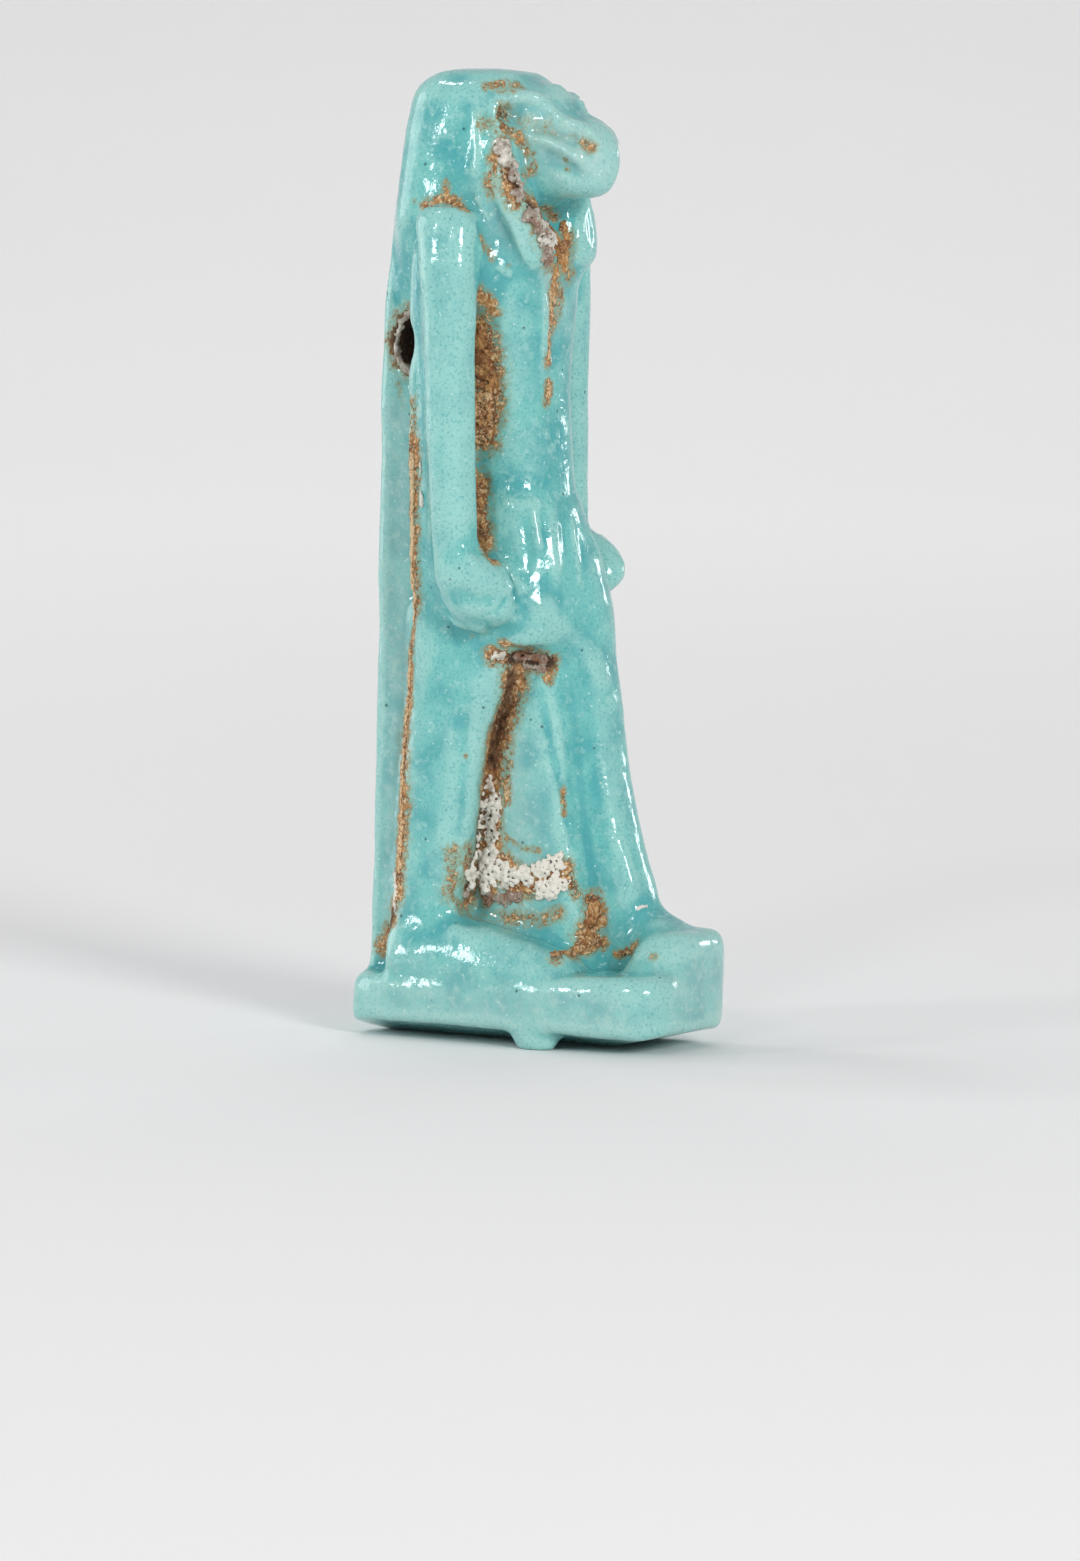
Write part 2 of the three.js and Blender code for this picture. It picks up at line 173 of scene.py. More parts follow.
def smoothed(values, edges, rounds, share=0.5):
    """Values at the vertices, evened out with their neighbours' for a number of rounds."""
    a, b = edges[:, 0], edges[:, 1]
    count = len(values)
    near = np.maximum(np.bincount(a, minlength=count) + np.bincount(b, minlength=count), 1)
    result = values.copy()
    for _ in range(rounds):
        for k in range(result.shape[1]):
            column = result[:, k]
            total = np.bincount(a, column[b], count) + np.bincount(b, column[a], count)
            result[:, k] = column + share * (total / near - column)
    return result


def remeshed(mesh, grid):
    """A new mesh of even faces over the outside of a closed mesh."""
    work = bpy.data.objects.new("remesh_work", mesh)
    bpy.context.scene.collection.objects.link(work)
    voxels = work.modifiers.new("Voxels", "REMESH")
    voxels.mode = "VOXEL"
    voxels.voxel_size = grid
    shown = work.evaluated_get(bpy.context.evaluated_depsgraph_get())
    result = bpy.data.meshes.new_from_object(shown)
    bpy.data.objects.remove(work)
    return result


def line_distance(points, line):
    """How far each point is from a line through named places, and how far along the line."""
    places = np.array(line, float)
    if len(places) == 1:
        return np.linalg.norm(points - places[0], axis=1), np.full(len(points), 0.5)
    lengths = np.linalg.norm(np.diff(places, axis=0), axis=1)
    before = np.concatenate([[0], np.cumsum(lengths)])
    best = np.full(len(points), np.inf)
    along = np.zeros(len(points))
    for i, size in enumerate(lengths):
        way = (places[i + 1] - places[i]) / size
        t = np.clip((points - places[i]) @ way, 0, size)
        away = np.linalg.norm(points - places[i] - t[:, None] * way, axis=1)
        nearer = away < best
        best[nearer] = away[nearer]
        along[nearer] = (before[i] + t[nearer]) / before[-1]
    return best, along


def mirrored(line):
    """The same line on the figure's other side."""
    return [(-x, y, z) for x, y, z in line]


def both_sides(marks):
    """Marks of the figure's right, with the same on its left."""
    return [m for name, line, *rest in marks for m in ((name, line, *rest), (name, mirrored(line), *rest))]


def wave(points, size, offset=0.0):
    """Smooth noise of a given grain size at each point, about -1 to 1."""
    shift = Vector((offset, offset * 0.7, offset * 1.3))
    return np.array([noise.noise(Vector(p) / size + shift) for p in points])


def rounded(mesh, points, edges, sizes):
    """The points of the solid with its edges rounded off and its facets gone. Tight edges of the
    base are kept, broad faces are evened out most, and the volume that is lost is given back."""
    tight = smoothed(points, edges, sizes.edge_softening)
    soft = smoothed(tight, edges, sizes.softening - sizes.edge_softening)
    even = smoothed(soft, edges, sizes.plane_softening - sizes.softening)
    moved = np.linalg.norm(even - soft, axis=1)
    broad = smoothed(np.clip(1.6 - moved / 0.07, 0, 1)[:, None], edges, 6)
    result = soft + broad * (even - soft)
    low = np.clip((3.7 - points[:, 2:]) / 0.5, 0, 1)
    result = result + low * (tight - result)
    set_points(mesh, result)
    normals = normals_of(mesh)
    lost = ((points - result) * normals).sum(1, keepdims=True)
    return result + normals * smoothed(lost, edges, 2 * sizes.softening)


def zone_strength(points, zones):
    """How strongly the named zones hold at each point, from 0 to 1."""
    strength = np.zeros(len(points))
    for name, line, reach, most in zones:
        away, along = line_distance(points, line)
        strength = np.maximum(strength, most * np.exp(-((0.8 * away / reach) ** 2)))
    return strength


def whiteness_of(points, rows):
    """The whiteness of the nearest line of crumbs, a little uneven."""
    aways = np.array([line_distance(points, row[2])[0] for row in rows])
    nearest = np.array([row[6] for row in rows])[aways.argmin(0)]
    return nearest + 0.25 * wave(points, 0.45, 11.0)


def heap_crumbs(bm, surface, draw, line, width, crumb, rise):
    """Heaps flat crumbs along a line on the surface, lower and sparser towards its sides."""
    places = [Vector(p) for p in line]
    spans = [(b - a).length for a, b in zip(places, places[1:])]
    area = 2 * width * sum(spans) + math.pi * width ** 2
    for _ in range(int(3.8 * area / (math.pi * (0.75 * crumb) ** 2))):
        i = draw.choices(range(len(spans)), spans)[0]
        side = width * math.sqrt(draw.random())
        place = places[i].lerp(places[i + 1], draw.random())
        place += side * Vector([draw.gauss(0, 1) for _ in range(3)]).normalized()
        if noise.noise(place * 2.4) < 1.1 * side / width - 1.15:
            continue
        spot, normal, _, _ = surface.find_nearest(place * MM)
        height = rise * (1 - 0.8 * (side / width) ** 2)
        centre = spot / MM + normal * (draw.uniform(-0.2, 0.7) * height)
        size = crumb * (0.45 + 0.75 * draw.random() ** 2)
        turn = normal.to_track_quat("Z", "Y").to_matrix().to_4x4() @ Matrix.Rotation(draw.uniform(0, math.tau), 4, "Z")
        shape = Matrix.Diagonal([draw.uniform(0.8, 1.2), draw.uniform(0.7, 1.1), 0.7]).to_4x4()
        bmesh.ops.create_icosphere(
            bm, subdivisions=1, radius=size, matrix=Matrix.Translation(centre) @ turn @ shape
        )


def keep_attribute(mesh, name, values):
    """Stores one number at each vertex for the materials to read."""
    layer = mesh.attributes.new(name, "FLOAT", "POINT")
    layer.data.foreach_set("value", np.clip(values, 0, 1).astype(np.float32))


def finished(name, mesh, material):
    """The object of a finished mesh, smooth shaded, riding on the part's one body."""
    mesh.name = name
    mesh.polygons.foreach_set("use_smooth", [True] * len(mesh.polygons))
    mesh.materials.clear()
    mesh.materials.append(material)
    made = bpy.data.objects.new(name, mesh)
    bpy.context.scene.collection.objects.link(made)
    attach(made, "root")
    return made


# Fine relief: name, line of places in millimetres, half width, height. Negative heights are
# grooves. The head's right side is given, and its left side has the same.

HEAD_MARKS = [
    ("brow", [(-2.8, 1.0, 39.2), (-2.2, 0.8, 39.4), (-1.8, 0.1, 39.6), (-1.3, -0.6, 39.3)], 0.30, 0.30),
    ("brow front", [(-1.3, -0.6, 39.3), (-1.2, -0.9, 38.9), (-1.1, -0.9, 38.5)], 0.26, 0.20),
    ("snout ridge", [(-1.1, -0.9, 38.5), (-0.9, -1.8, 38.4), (-0.8, -2.4, 38.0), (-0.7, -2.8, 37.3)], 0.26, 0.22),
    ("snout side", [(-1.8, -0.1, 38.15), (-1.4, -1.0, 38.0), (-1.1, -2.1, 37.6)], 0.26, -0.20),
    ("eye hollow", [(-2.9, 0.7, 38.7), (-2.5, 0.7, 38.8), (-2.1, 0.5, 38.95)], 0.28, -0.26),
    ("eye", [(-1.7, 0.0, 38.5)], 0.44, 0.20),
    ("upper lip", [(-1.8, -0.1, 37.8), (-1.6, -0.7, 37.7), (-1.45, -1.4, 37.4), (-1.1, -2.2, 36.8)], 0.25, 0.34),
    ("jaw hollow", [(-1.7, -0.4, 37.2), (-1.45, -1.1, 36.9), (-1.1, -2.1, 36.3)], 0.30, -0.15),
    ("nostril", [(-0.95, -2.35, 37.55)], 0.22, -0.10),
    ("wig edge", [(-3.1, 1.7, 39.3), (-3.3, 1.5, 38.3), (-3.5, 1.4, 37.0), (-3.6, 1.5, 35.8)], 0.32, 0.13),
    ("wig side", [(-3.7, 2.7, 37.8), (-3.8, 2.8, 36.4)], 0.60, -0.05),
]

RIGHT_MARKS = [
    ("lappet outer", [(-3.6, 1.5, 35.4), (-3.5, 1.1, 34.8), (-3.4, 0.8, 34.2)], 0.24, 0.17),
    ("lappet valley", [(-3.6, 0.8, 35.2), (-3.35, 0.4, 34.2), (-3.05, 0.1, 33.2)], 0.24, -0.08),
    ("lappet crest", [(-3.6, 0.3, 35.2), (-3.3, -0.1, 34.3), (-3.0, -0.3, 33.5), (-2.4, -0.5, 32.4)], 0.22, 0.22),
    ("lappet foot", [(-3.3, 0.6, 32.6), (-3.1, 0.3, 32.3), (-2.8, 0.0, 32.1)], 0.22, 0.10),
    ("arm groove", [(-4.2, 1.0, 34.5), (-3.9, 0.9, 33.7), (-3.4, 0.7, 32.8)], 0.26, -0.10),
    ("chest edge", [(-2.2, -0.9, 32.6), (-1.3, -0.7, 31.6), (-1.0, -0.5, 30.6), (-1.0, -0.4, 28.4)], 0.30, 0.15),
    ("chest valley", [(-1.0, -0.9, 32.5), (-0.3, -0.5, 31.1), (-0.4, -0.5, 29.8), (-0.4, -0.4, 28.3)], 0.28, -0.08),
    ("shoulder", [(-5.3, 2.4, 34.3), (-5.4, 1.8, 34.4)], 0.50, 0.05),
    ("thumb", [(-5.2, 0.6, 20.7), (-5.25, 0.1, 20.0), (-5.1, -0.4, 19.6)], 0.15, 0.13),
    ("finger", [(-4.9, -0.7, 19.6), (-4.6, -0.8, 19.1), (-4.0, -0.8, 18.5)], 0.15, 0.13),
    ("under the knuckles", [(-5.1, 1.7, 18.7), (-5.3, 0.7, 18.8), (-5.0, -0.2, 18.7), (-4.6, -0.6, 18.4)], 0.42, -0.12),
    ("kilt top", [(-2.7, 0.6, 22.8), (-2.4, -0.2, 22.6), (-1.6, -0.9, 22.7)], 0.26, 0.07),
    ("fold", [(-2.0, -0.6, 22.6), (-2.1, -0.9, 21.5), (-2.1, -1.1, 20.6)], 0.18, 0.08),
    ("fold", [(-1.3, -1.2, 22.1), (-1.6, -1.4, 20.9), (-1.7, -1.6, 19.5)], 0.28, 0.13),
    ("fold", [(0.0, -1.3, 22.2), (-0.3, -1.6, 21.1), (-0.4, -1.9, 19.0)], 0.20, 0.07),
    ("fold valley", [(-2.4, -0.4, 22.0), (-2.5, -0.7, 20.7), (-2.6, -0.9, 19.9)], 0.22, -0.06),
    ("fold valley", [(-1.75, -0.9, 22.3), (-1.9, -1.1, 21.2)], 0.16, -0.05),
    ("fold valley", [(-0.7, -1.3, 21.9), (-1.0, -1.7, 20.3)], 0.26, -0.07),
    ("hem roll", [(-3.1, 0.2, 20.3), (-2.9, -0.3, 19.6), (-2.8, -0.8, 18.8)], 0.34, 0.14),
    ("hem roll", [(-2.8, -0.7, 18.9), (-2.2, -1.4, 18.2), (-1.2, -1.9, 17.4), (-0.3, -2.2, 16.7), (0.5, -2.6, 15.7), (1.0, -3.0, 14.4)], 0.70, 0.20),
    ("beside the hand", [(-4.4, -0.6, 18.2), (-3.7, -0.4, 18.0), (-3.2, -0.2, 18.4)], 0.60, 0.34),
    ("below the hand", [(-4.1, 2.4, 17.2), (-4.2, 1.2, 17.0), (-3.7, 0.3, 17.2)], 0.60, 0.28),
    ("beside the thumb", [(-4.0, 0.2, 20.4), (-3.9, -0.2, 19.6), (-3.7, -0.5, 18.9)], 0.50, 0.30),
    ("arm gap", [(-2.9, 1.2, 31.0), (-2.5, 1.3, 29.6), (-2.4, 1.2, 27.0), (-2.4, 1.4, 25.0)], 0.55, -0.30),
    ("arm gap", [(-2.4, 1.6, 24.0), (-2.4, 1.3, 22.6), (-2.8, 0.9, 21.2)], 0.42, -0.20),
    ("leg hollow", [(-3.2, 2.0, 14.4), (-2.9, 2.0, 11.8), (-2.8, 2.1, 9.3), (-2.9, 2.5, 8.0)], 0.42, -0.12),
    ("web groove", [(-1.2, -0.7, 14.7), (-1.0, -1.1, 12.5), (-0.8, -1.6, 10.4), (-0.7, -2.0, 8.4)], 0.24, -0.11),
    ("shin", [(0.5, -3.3, 8.9), (0.7, -3.8, 7.8), (0.7, -4.3, 6.4)], 0.28, 0.12),
    ("instep", [(-3.1, 2.6, 4.9), (-3.3, 1.6, 4.6), (-3.4, 0.7, 4.2)], 0.40, 0.08),
    ("heel", [(-3.6, 5.5, 3.4), (-3.4, 3.0, 3.6)], 0.40, 0.10),
]

OTHER_MARKS = [
    ("forehead", [(0.3, -0.2, 39.9)], 0.42, 0.16),
    ("forehead notch", [(0.6, -1.0, 39.2)], 0.30, -0.14),
    ("lappet inner", [(1.3, -0.8, 34.7), (1.1, -1.0, 33.4), (1.1, -0.9, 32.5)], 0.22, 0.10),
    ("lappet outer", [(2.8, -0.3, 35.0), (2.7, -0.6, 33.6), (2.4, -0.6, 32.5)], 0.22, 0.10),
    ("lappet valley", [(2.1, -0.8, 34.8), (1.9, -1.0, 33.4)], 0.24, -0.05),
    ("thumb", [(5.2, 0.4, 21.1), (5.2, -0.2, 20.6), (5.0, -0.8, 20.1)], 0.16, 0.10),
    ("under the knuckles", [(5.2, 1.5, 19.2), (5.2, 0.4, 19.2), (4.8, -0.6, 19.0)], 0.40, -0.12),
    ("fold", [(1.6, -1.2, 21.8), (1.6, -1.8, 20.2)], 0.26, 0.07),
    ("fold", [(2.8, -0.2, 22.2), (2.9, -0.9, 19.6), (2.8, -1.4, 17.6)], 0.26, 0.08),
    ("hem", [(3.4, 1.8, 17.3), (3.3, 0.0, 17.2), (2.9, -1.3, 17.0)], 0.30, 0.08),
    ("calf hollow", [(2.9, 0.2, 14.6), (2.8, -1.6, 10.4)], 0.40, -0.08),
]


# Edges that the glaze drowned: name, line of places, reach, strength

DROWNED_EDGES = [
    ("hand", [(-4.4, 2.6, 18.0), (-4.6, 1.2, 17.5), (-4.5, 0.0, 17.8), (-4.3, -0.8, 18.5)], 1.00, 1.0),
    ("thumb", [(-4.0, 0.2, 20.4), (-3.9, -0.4, 19.2)], 0.60, 1.0),
    ("arm", [(-4.9, 3.1, 31.0), (-4.9, 2.8, 26.0), (-4.9, 2.6, 22.8), (-4.3, 2.9, 19.0)], 0.60, 1.0),
    ("hem", [(-1.0, -1.7, 17.5), (-0.2, -2.0, 16.9), (0.8, -2.4, 16.4), (1.8, -2.2, 16.4)], 1.30, 1.0),
    ("brow", [(-1.1, -0.8, 39.2), (-0.8, -1.5, 38.8)], 0.40, 0.7),
    ("eye", [(-2.2, 0.9, 38.8)], 0.50, 0.8),
    ("lappet", [(-1.9, -0.8, 32.0), (-1.3, -0.8, 31.9)], 0.50, 0.9),
    ("other lappet", [(1.0, -0.8, 32.2), (2.2, -0.7, 32.2)], 0.45, 0.8),
    ("other hand", [(4.6, 1.2, 18.2), (4.5, -0.3, 18.3)], 0.60, 0.8),
]


# Where earth has set in the glaze's hollows: name, line of places, reach, strength

EARTH_ZONES = [
    ("crown", [(-2.7, 1.5, 39.9), (-2.2, 1.1, 40.0), (-1.5, 0.7, 39.9)], 0.26, 0.62),
    ("crown", [(-2.4, 1.0, 39.7), (-1.9, 0.7, 39.7)], 0.22, 0.45),
    ("wig edge", [(-3.2, 1.4, 38.4), (-3.2, 1.0, 38.2), (-3.2, 0.7, 38.0)], 0.36, 0.50),
    ("eye", [(-2.8, 0.6, 38.7), (-2.8, 0.5, 38.2)], 0.28, 0.90),
    ("eye", [(-2.6, 0.8, 38.9), (-2.3, 0.8, 38.8)], 0.30, 0.85),
    ("eye", [(-2.0, 0.3, 38.4), (-1.6, -0.3, 38.3)], 0.40, 0.34),
    ("cheek", [(-2.5, 0.4, 38.1), (-2.0, 0.4, 37.8), (-2.1, 0.4, 37.6)], 0.26, 0.75),
    ("cheek", [(-1.9, 0.2, 37.6), (-1.8, -0.1, 37.1), (-1.8, -0.2, 36.5), (-2.2, 0.0, 36.2)], 0.26, 0.52),
    ("cleft", [(-3.4, 0.6, 37.3), (-3.5, 0.7, 36.9), (-3.6, 0.6, 36.5), (-3.6, 0.8, 36.0), (-3.6, 0.8, 35.5)], 0.28, 0.66),
    ("cleft", [(-3.2, 0.3, 37.5), (-3.2, 0.1, 36.4), (-3.3, -0.3, 35.3)], 0.42, 1.0),
    ("nostril", [(-1.0, -2.2, 37.6), (-0.9, -2.5, 37.4)], 0.24, 0.62),
    ("snout", [(-1.4, -0.6, 38.4)], 0.28, 0.34),
    ("snout", [(-1.1, -1.7, 37.9)], 0.24, 0.34),
    ("jaw", [(-1.3, -1.5, 36.9)], 0.11, 0.75),
    ("jaw", [(-1.3, -1.6, 36.5)], 0.13, 0.65),
    ("wig hem", [(-4.4, 3.4, 34.8), (-3.8, 3.7, 34.9), (-3.8, 3.2, 35.1), (-3.8, 2.7, 35.2), (-3.8, 2.2, 35.0), (-4.5, 1.4, 34.7)], 0.26, 0.85),
    ("wig hem", [(-3.8, 2.8, 35.8), (-3.8, 2.8, 35.3)], 0.22, 0.66),
    ("wig back", [(-3.8, 4.3, 35.1)], 0.14, 0.60),
    ("arm groove", [(-3.9, 0.9, 33.7), (-3.7, 0.8, 33.2), (-3.4, 0.7, 32.8)], 0.22, 0.52),
    ("lappet foot", [(-2.9, 0.2, 32.5)], 0.15, 0.42),
    ("chin", [(-2.4, -0.7, 34.9), (-1.9, -0.9, 33.8), (-1.2, -0.9, 33.0)], 0.62, 0.90),
    ("neck", [(-0.5, -0.1, 34.9), (0.8, 0.2, 34.5)], 0.22, 0.80),
    ("neck", [(0.8, -0.4, 33.8), (0.8, -0.5, 33.1), (0.5, -0.4, 32.6), (1.0, -0.6, 32.0)], 0.36, 0.62),
    ("chest furrow", [(-0.1, -0.5, 32.2), (-0.3, -0.5, 31.0), (-0.4, -0.5, 30.2)], 0.46, 0.80),
    ("chest furrow", [(-0.4, -0.5, 30.2), (-0.5, -0.5, 29.4), (-0.6, -0.4, 28.5)], 0.30, 0.80),
    ("chest furrow", [(0.4, -0.5, 31.4), (0.2, -0.5, 30.4)], 0.26, 0.66),
    ("navel", [(-0.5, -0.4, 27.5), (-0.7, -0.5, 26.9)], 0.28, 0.85),
    ("arm gap", [(-3.6, 1.2, 31.4), (-3.3, 1.0, 31.0), (-3.0, 0.8, 30.6)], 0.30, 0.85),
    ("arm gap", [(-3.2, 1.5, 29.7), (-2.9, 1.3, 28.4), (-2.8, 1.3, 27.0), (-2.8, 1.5, 25.4)], 0.70, 1.0),
    ("arm gap", [(-2.9, 1.8, 24.8), (-2.8, 1.7, 23.8)], 0.34, 0.55),
    ("arm gap", [(-2.8, 1.6, 23.4), (-2.9, 1.4, 21.9), (-3.2, 1.1, 20.9)], 0.46, 1.0),
    ("arm gap", [(-4.2, 0.4, 20.6), (-4.4, 0.0, 20.2)], 0.30, 0.75),
    ("pillar groove", [(-4.3, 3.9, 26.8), (-4.35, 3.9, 25.2)], 0.34, 0.56),
    ("pillar groove", [(-4.35, 3.85, 25.2), (-4.35, 3.85, 23.5), (-4.3, 3.85, 21.8), (-4.2, 3.9, 20.2)], 0.40, 0.84),
    ("pillar groove", [(-4.2, 3.9, 20.2), (-4.0, 3.9, 18.7), (-3.4, 4.3, 17.4), (-2.8, 4.75, 16.3)], 0.40, 0.86),
    ("pillar groove", [(-2.8, 4.75, 16.3), (-2.7, 4.9, 14.2), (-2.6, 5.1, 12.5)], 0.46, 0.88),
    ("pillar groove", [(-2.6, 5.1, 12.5), (-2.9, 5.0, 10.0), (-2.9, 5.1, 8.3)], 0.48, 0.90),
    ("pillar groove", [(-2.9, 5.1, 8.3), (-3.0, 5.1, 6.1), (-2.8, 5.5, 5.2)], 0.42, 0.90),
    ("pillar side", [(-2.3, 5.9, 27.4), (-2.4, 5.6, 26.4)], 0.20, 0.46),
    ("pillar foot", [(-2.9, 5.4, 4.9), (-2.6, 5.9, 4.3), (-2.5, 6.3, 3.7)], 0.42, 0.85),
    ("under hem", [(-3.0, 0.2, 16.8), (-2.4, -0.4, 16.6), (-1.3, -0.8, 16.3)], 0.20, 0.85),
    ("fist", [(-3.4, 1.4, 17.1)], 0.16, 0.60),
    ("under hem", [(-2.8, 0.7, 16.3), (-2.1, 0.2, 16.2), (-1.3, -0.2, 16.1), (-1.0, -0.9, 16.0)], 0.40, 1.0),
    ("under hem", [(-1.3, 0.2, 15.8), (-1.1, -0.8, 15.7), (-1.0, -1.0, 15.3)], 0.26, 0.70),
    ("leg furrow", [(-1.7, 0.5, 15.4), (-1.4, 0.9, 14.2), (-1.3, 1.3, 13.0), (-1.2, 1.7, 11.8), (-1.1, 1.8, 10.8)], 0.62, 1.1),
    ("leg furrow", [(-1.3, 0.4, 15.2), (-1.2, 0.6, 14.0), (-1.3, 0.8, 12.6), (-1.3, 0.9, 11.0), (-1.3, 0.9, 10.1)], 0.30, 0.62),
    ("recess", [(-2.9, 2.5, 8.0), (-2.7, 2.5, 7.1), (-2.8, 2.7, 6.1), (-2.0, 2.5, 5.5)], 0.40, 0.50),
    ("recess", [(-2.1, 2.1, 8.0), (-1.9, 2.3, 6.7), (-1.4, 2.6, 5.8)], 0.44, 0.75),
    ("recess", [(-1.6, 2.2, 5.4), (-1.4, 0.6, 5.2), (-1.2, -0.8, 5.2), (-1.1, -1.7, 5.5)], 0.34, 0.56),
    ("recess rim", [(-1.2, 0.9, 8.5), (-1.2, 0.2, 8.2), (-1.2, -0.7, 8.1)], 0.16, 0.52),
    ("shin rim", [(-0.9, -1.9, 7.3), (-0.8, -2.1, 6.7), (-0.7, -2.3, 6.3)], 0.26, 0.80),
    ("foot", [(0.0, -2.6, 5.9), (0.0, -2.7, 5.2), (-0.6, -2.7, 4.5)], 0.50, 0.90),
    ("foot", [(0.3, -3.0, 4.3), (-0.9, -2.6, 4.0), (-2.2, -2.5, 3.7), (-2.8, -2.4, 3.6)], 0.30, 0.90),
    ("toes", [(0.3, -3.7, 3.8), (0.1, -4.4, 4.0), (0.0, -4.9, 4.3)], 0.20, 0.78),
    ("toes", [(-1.2, -6.3, 3.9)], 0.26, 0.52),
    ("web groove", [(-0.8, -1.6, 10.7), (-0.8, -1.7, 9.7)], 0.16, 0.60),
    ("leg", [(-2.9, 1.9, 12.0)], 0.10, 0.80),
    ("hole", [(-2.3, 5.0, 30.4), (-2.3, 5.9, 29.6), (-2.3, 5.8, 28.5), (-2.3, 5.0, 28.0)], 0.34, 0.70),
    ("bore", [(-2.3, 4.95, 29.2), (2.3, 4.95, 29.2)], 0.90, 3.0),
    ("snout", [(-1.8, -0.2, 38.2), (-1.4, -1.2, 37.9), (-1.0, -2.2, 37.6)], 0.24, 0.30),
    ("under the crust", [(-1.1, 1.8, 10.9), (-1.2, 1.7, 8.3), (-1.4, 1.9, 6.2)], 0.52, 1.2),
    ("under the crust", [(-1.2, 1.1, 7.4), (-1.2, 0.2, 6.6), (-1.2, -0.8, 6.9), (-1.0, -1.6, 7.2)], 0.52, 1.2),
    ("under the hand", [(-4.2, 1.6, 17.3), (-3.6, 0.6, 17.2)], 0.30, 0.36),
    ("left arm gap", [(3.3, 1.4, 30.4), (2.9, 1.6, 27.0), (2.9, 1.6, 22.5), (3.4, 1.2, 20.8)], 0.42, 0.80),
    ("left wig hem", [(4.3, 3.4, 34.8), (3.8, 3.2, 35.1), (3.8, 2.2, 35.0)], 0.24, 0.70),
    ("left groove", [(2.5, 4.9, 23.0), (2.5, 4.9, 15.0), (2.4, 4.9, 7.0), (2.4, 5.2, 4.2)], 0.28, 0.66),
    ("left hole", [(2.3, 5.0, 30.4), (2.3, 5.9, 29.6), (2.3, 5.8, 28.5), (2.3, 5.0, 28.0)], 0.40, 0.70),
    ("left hem", [(3.0, 1.9, 16.8), (2.6, 0.6, 16.7)], 0.26, 0.55),
    ("left heel", [(2.2, -0.2, 4.4), (2.4, 1.2, 3.6), (2.4, 3.2, 3.4)], 0.34, 0.55),
    ("left cheek", [(3.2, 0.2, 37.2), (3.1, -0.1, 35.6)], 0.36, 0.66),
]

# Where the earth is painted darker, partly dark damp earth and partly painted shade deep in furrows, under the hem and
# the hand, in the eye hollow and in the bore: name, line of places, reach, strength
DARK_ZONES = [
    ("leg furrow", [(-1.7, 0.5, 15.4), (-1.4, 0.9, 14.2), (-1.3, 1.3, 13.0), (-1.2, 1.7, 11.6)], 0.36, 0.75),
    ("under hem", [(-2.0, 0.3, 16.2), (-1.3, -0.2, 16.1), (-1.0, -0.9, 16.0)], 0.40, 0.9),
    ("arm gap", [(-3.3, 1.8, 29.6), (-3.1, 1.8, 26.0)], 0.40, 0.5),
    ("arm gap", [(-3.1, 1.3, 21.4), (-4.2, 0.3, 20.4)], 0.40, 0.5),
    ("pillar foot", [(-2.9, 5.4, 5.2), (-2.6, 5.8, 4.4)], 0.34, 0.7),
    ("foot", [(0.0, -2.3, 6.0), (0.0, -2.4, 5.2)], 0.30, 0.5),
    ("bore", [(-2.1, 4.95, 29.2), (2.1, 4.95, 29.2)], 1.10, 1.6),
    ("under the crust", [(-1.4, 2.2, 10.4), (-1.5, 2.3, 8.3), (-1.6, 2.4, 6.2)], 0.40, 0.8),
    ("cleft", [(-2.9, 0.2, 37.4), (-2.9, -0.1, 35.4)], 0.40, 0.8),
    ("chin", [(-2.8, -0.6, 35.0), (-2.2, -0.8, 34.6)], 0.34, 0.8),
    ("eye", [(-2.8, 0.7, 38.7), (-2.3, 0.9, 38.7)], 0.24, 0.6),
    ("recess", [(-1.5, 2.6, 7.0), (-1.5, 1.6, 5.6), (-1.3, 0.4, 5.9)], 0.40, 0.6),
]


# Where the glaze is worn thin: name, line of places, reach, strength

WORN_ZONES = [
    ("muzzle", [(-1.6, -0.8, 37.9), (-0.9, -2.6, 37.2)], 1.3, 1.0),
    ("brow", [(-2.0, 0.0, 39.6), (0.4, -0.6, 39.8)], 0.9, 0.7),
    ("pillar side", [(-2.4, 5.6, 26.0), (-2.9, 5.8, 5.0)], 0.9, 0.9),
    ("base front", [(0.0, -7.5, 2.4), (2.0, -7.5, 2.6)], 2.2, 0.7),
    ("base side", [(-3.9, 5.0, 1.6), (-3.9, -5.6, 1.6)], 1.2, 0.7),
    ("neck", [(-1.0, -0.8, 33.2), (0.0, -0.5, 30.5)], 0.8, 0.6),
    ("web", [(-1.3, 1.2, 12.6), (-1.2, 0.4, 9.0), (-1.2, 0.4, 5.8)], 1.0, 0.8),
    ("lappet", [(-3.6, 0.8, 35.4), (-3.2, 0.2, 33.8)], 0.7, 0.6),
]


# Crumbs of earth and lime that stand on the surface: piece, finish, line of places, half
# width, size of a crumb, height, whiteness. Lines with one piece's name make one piece.

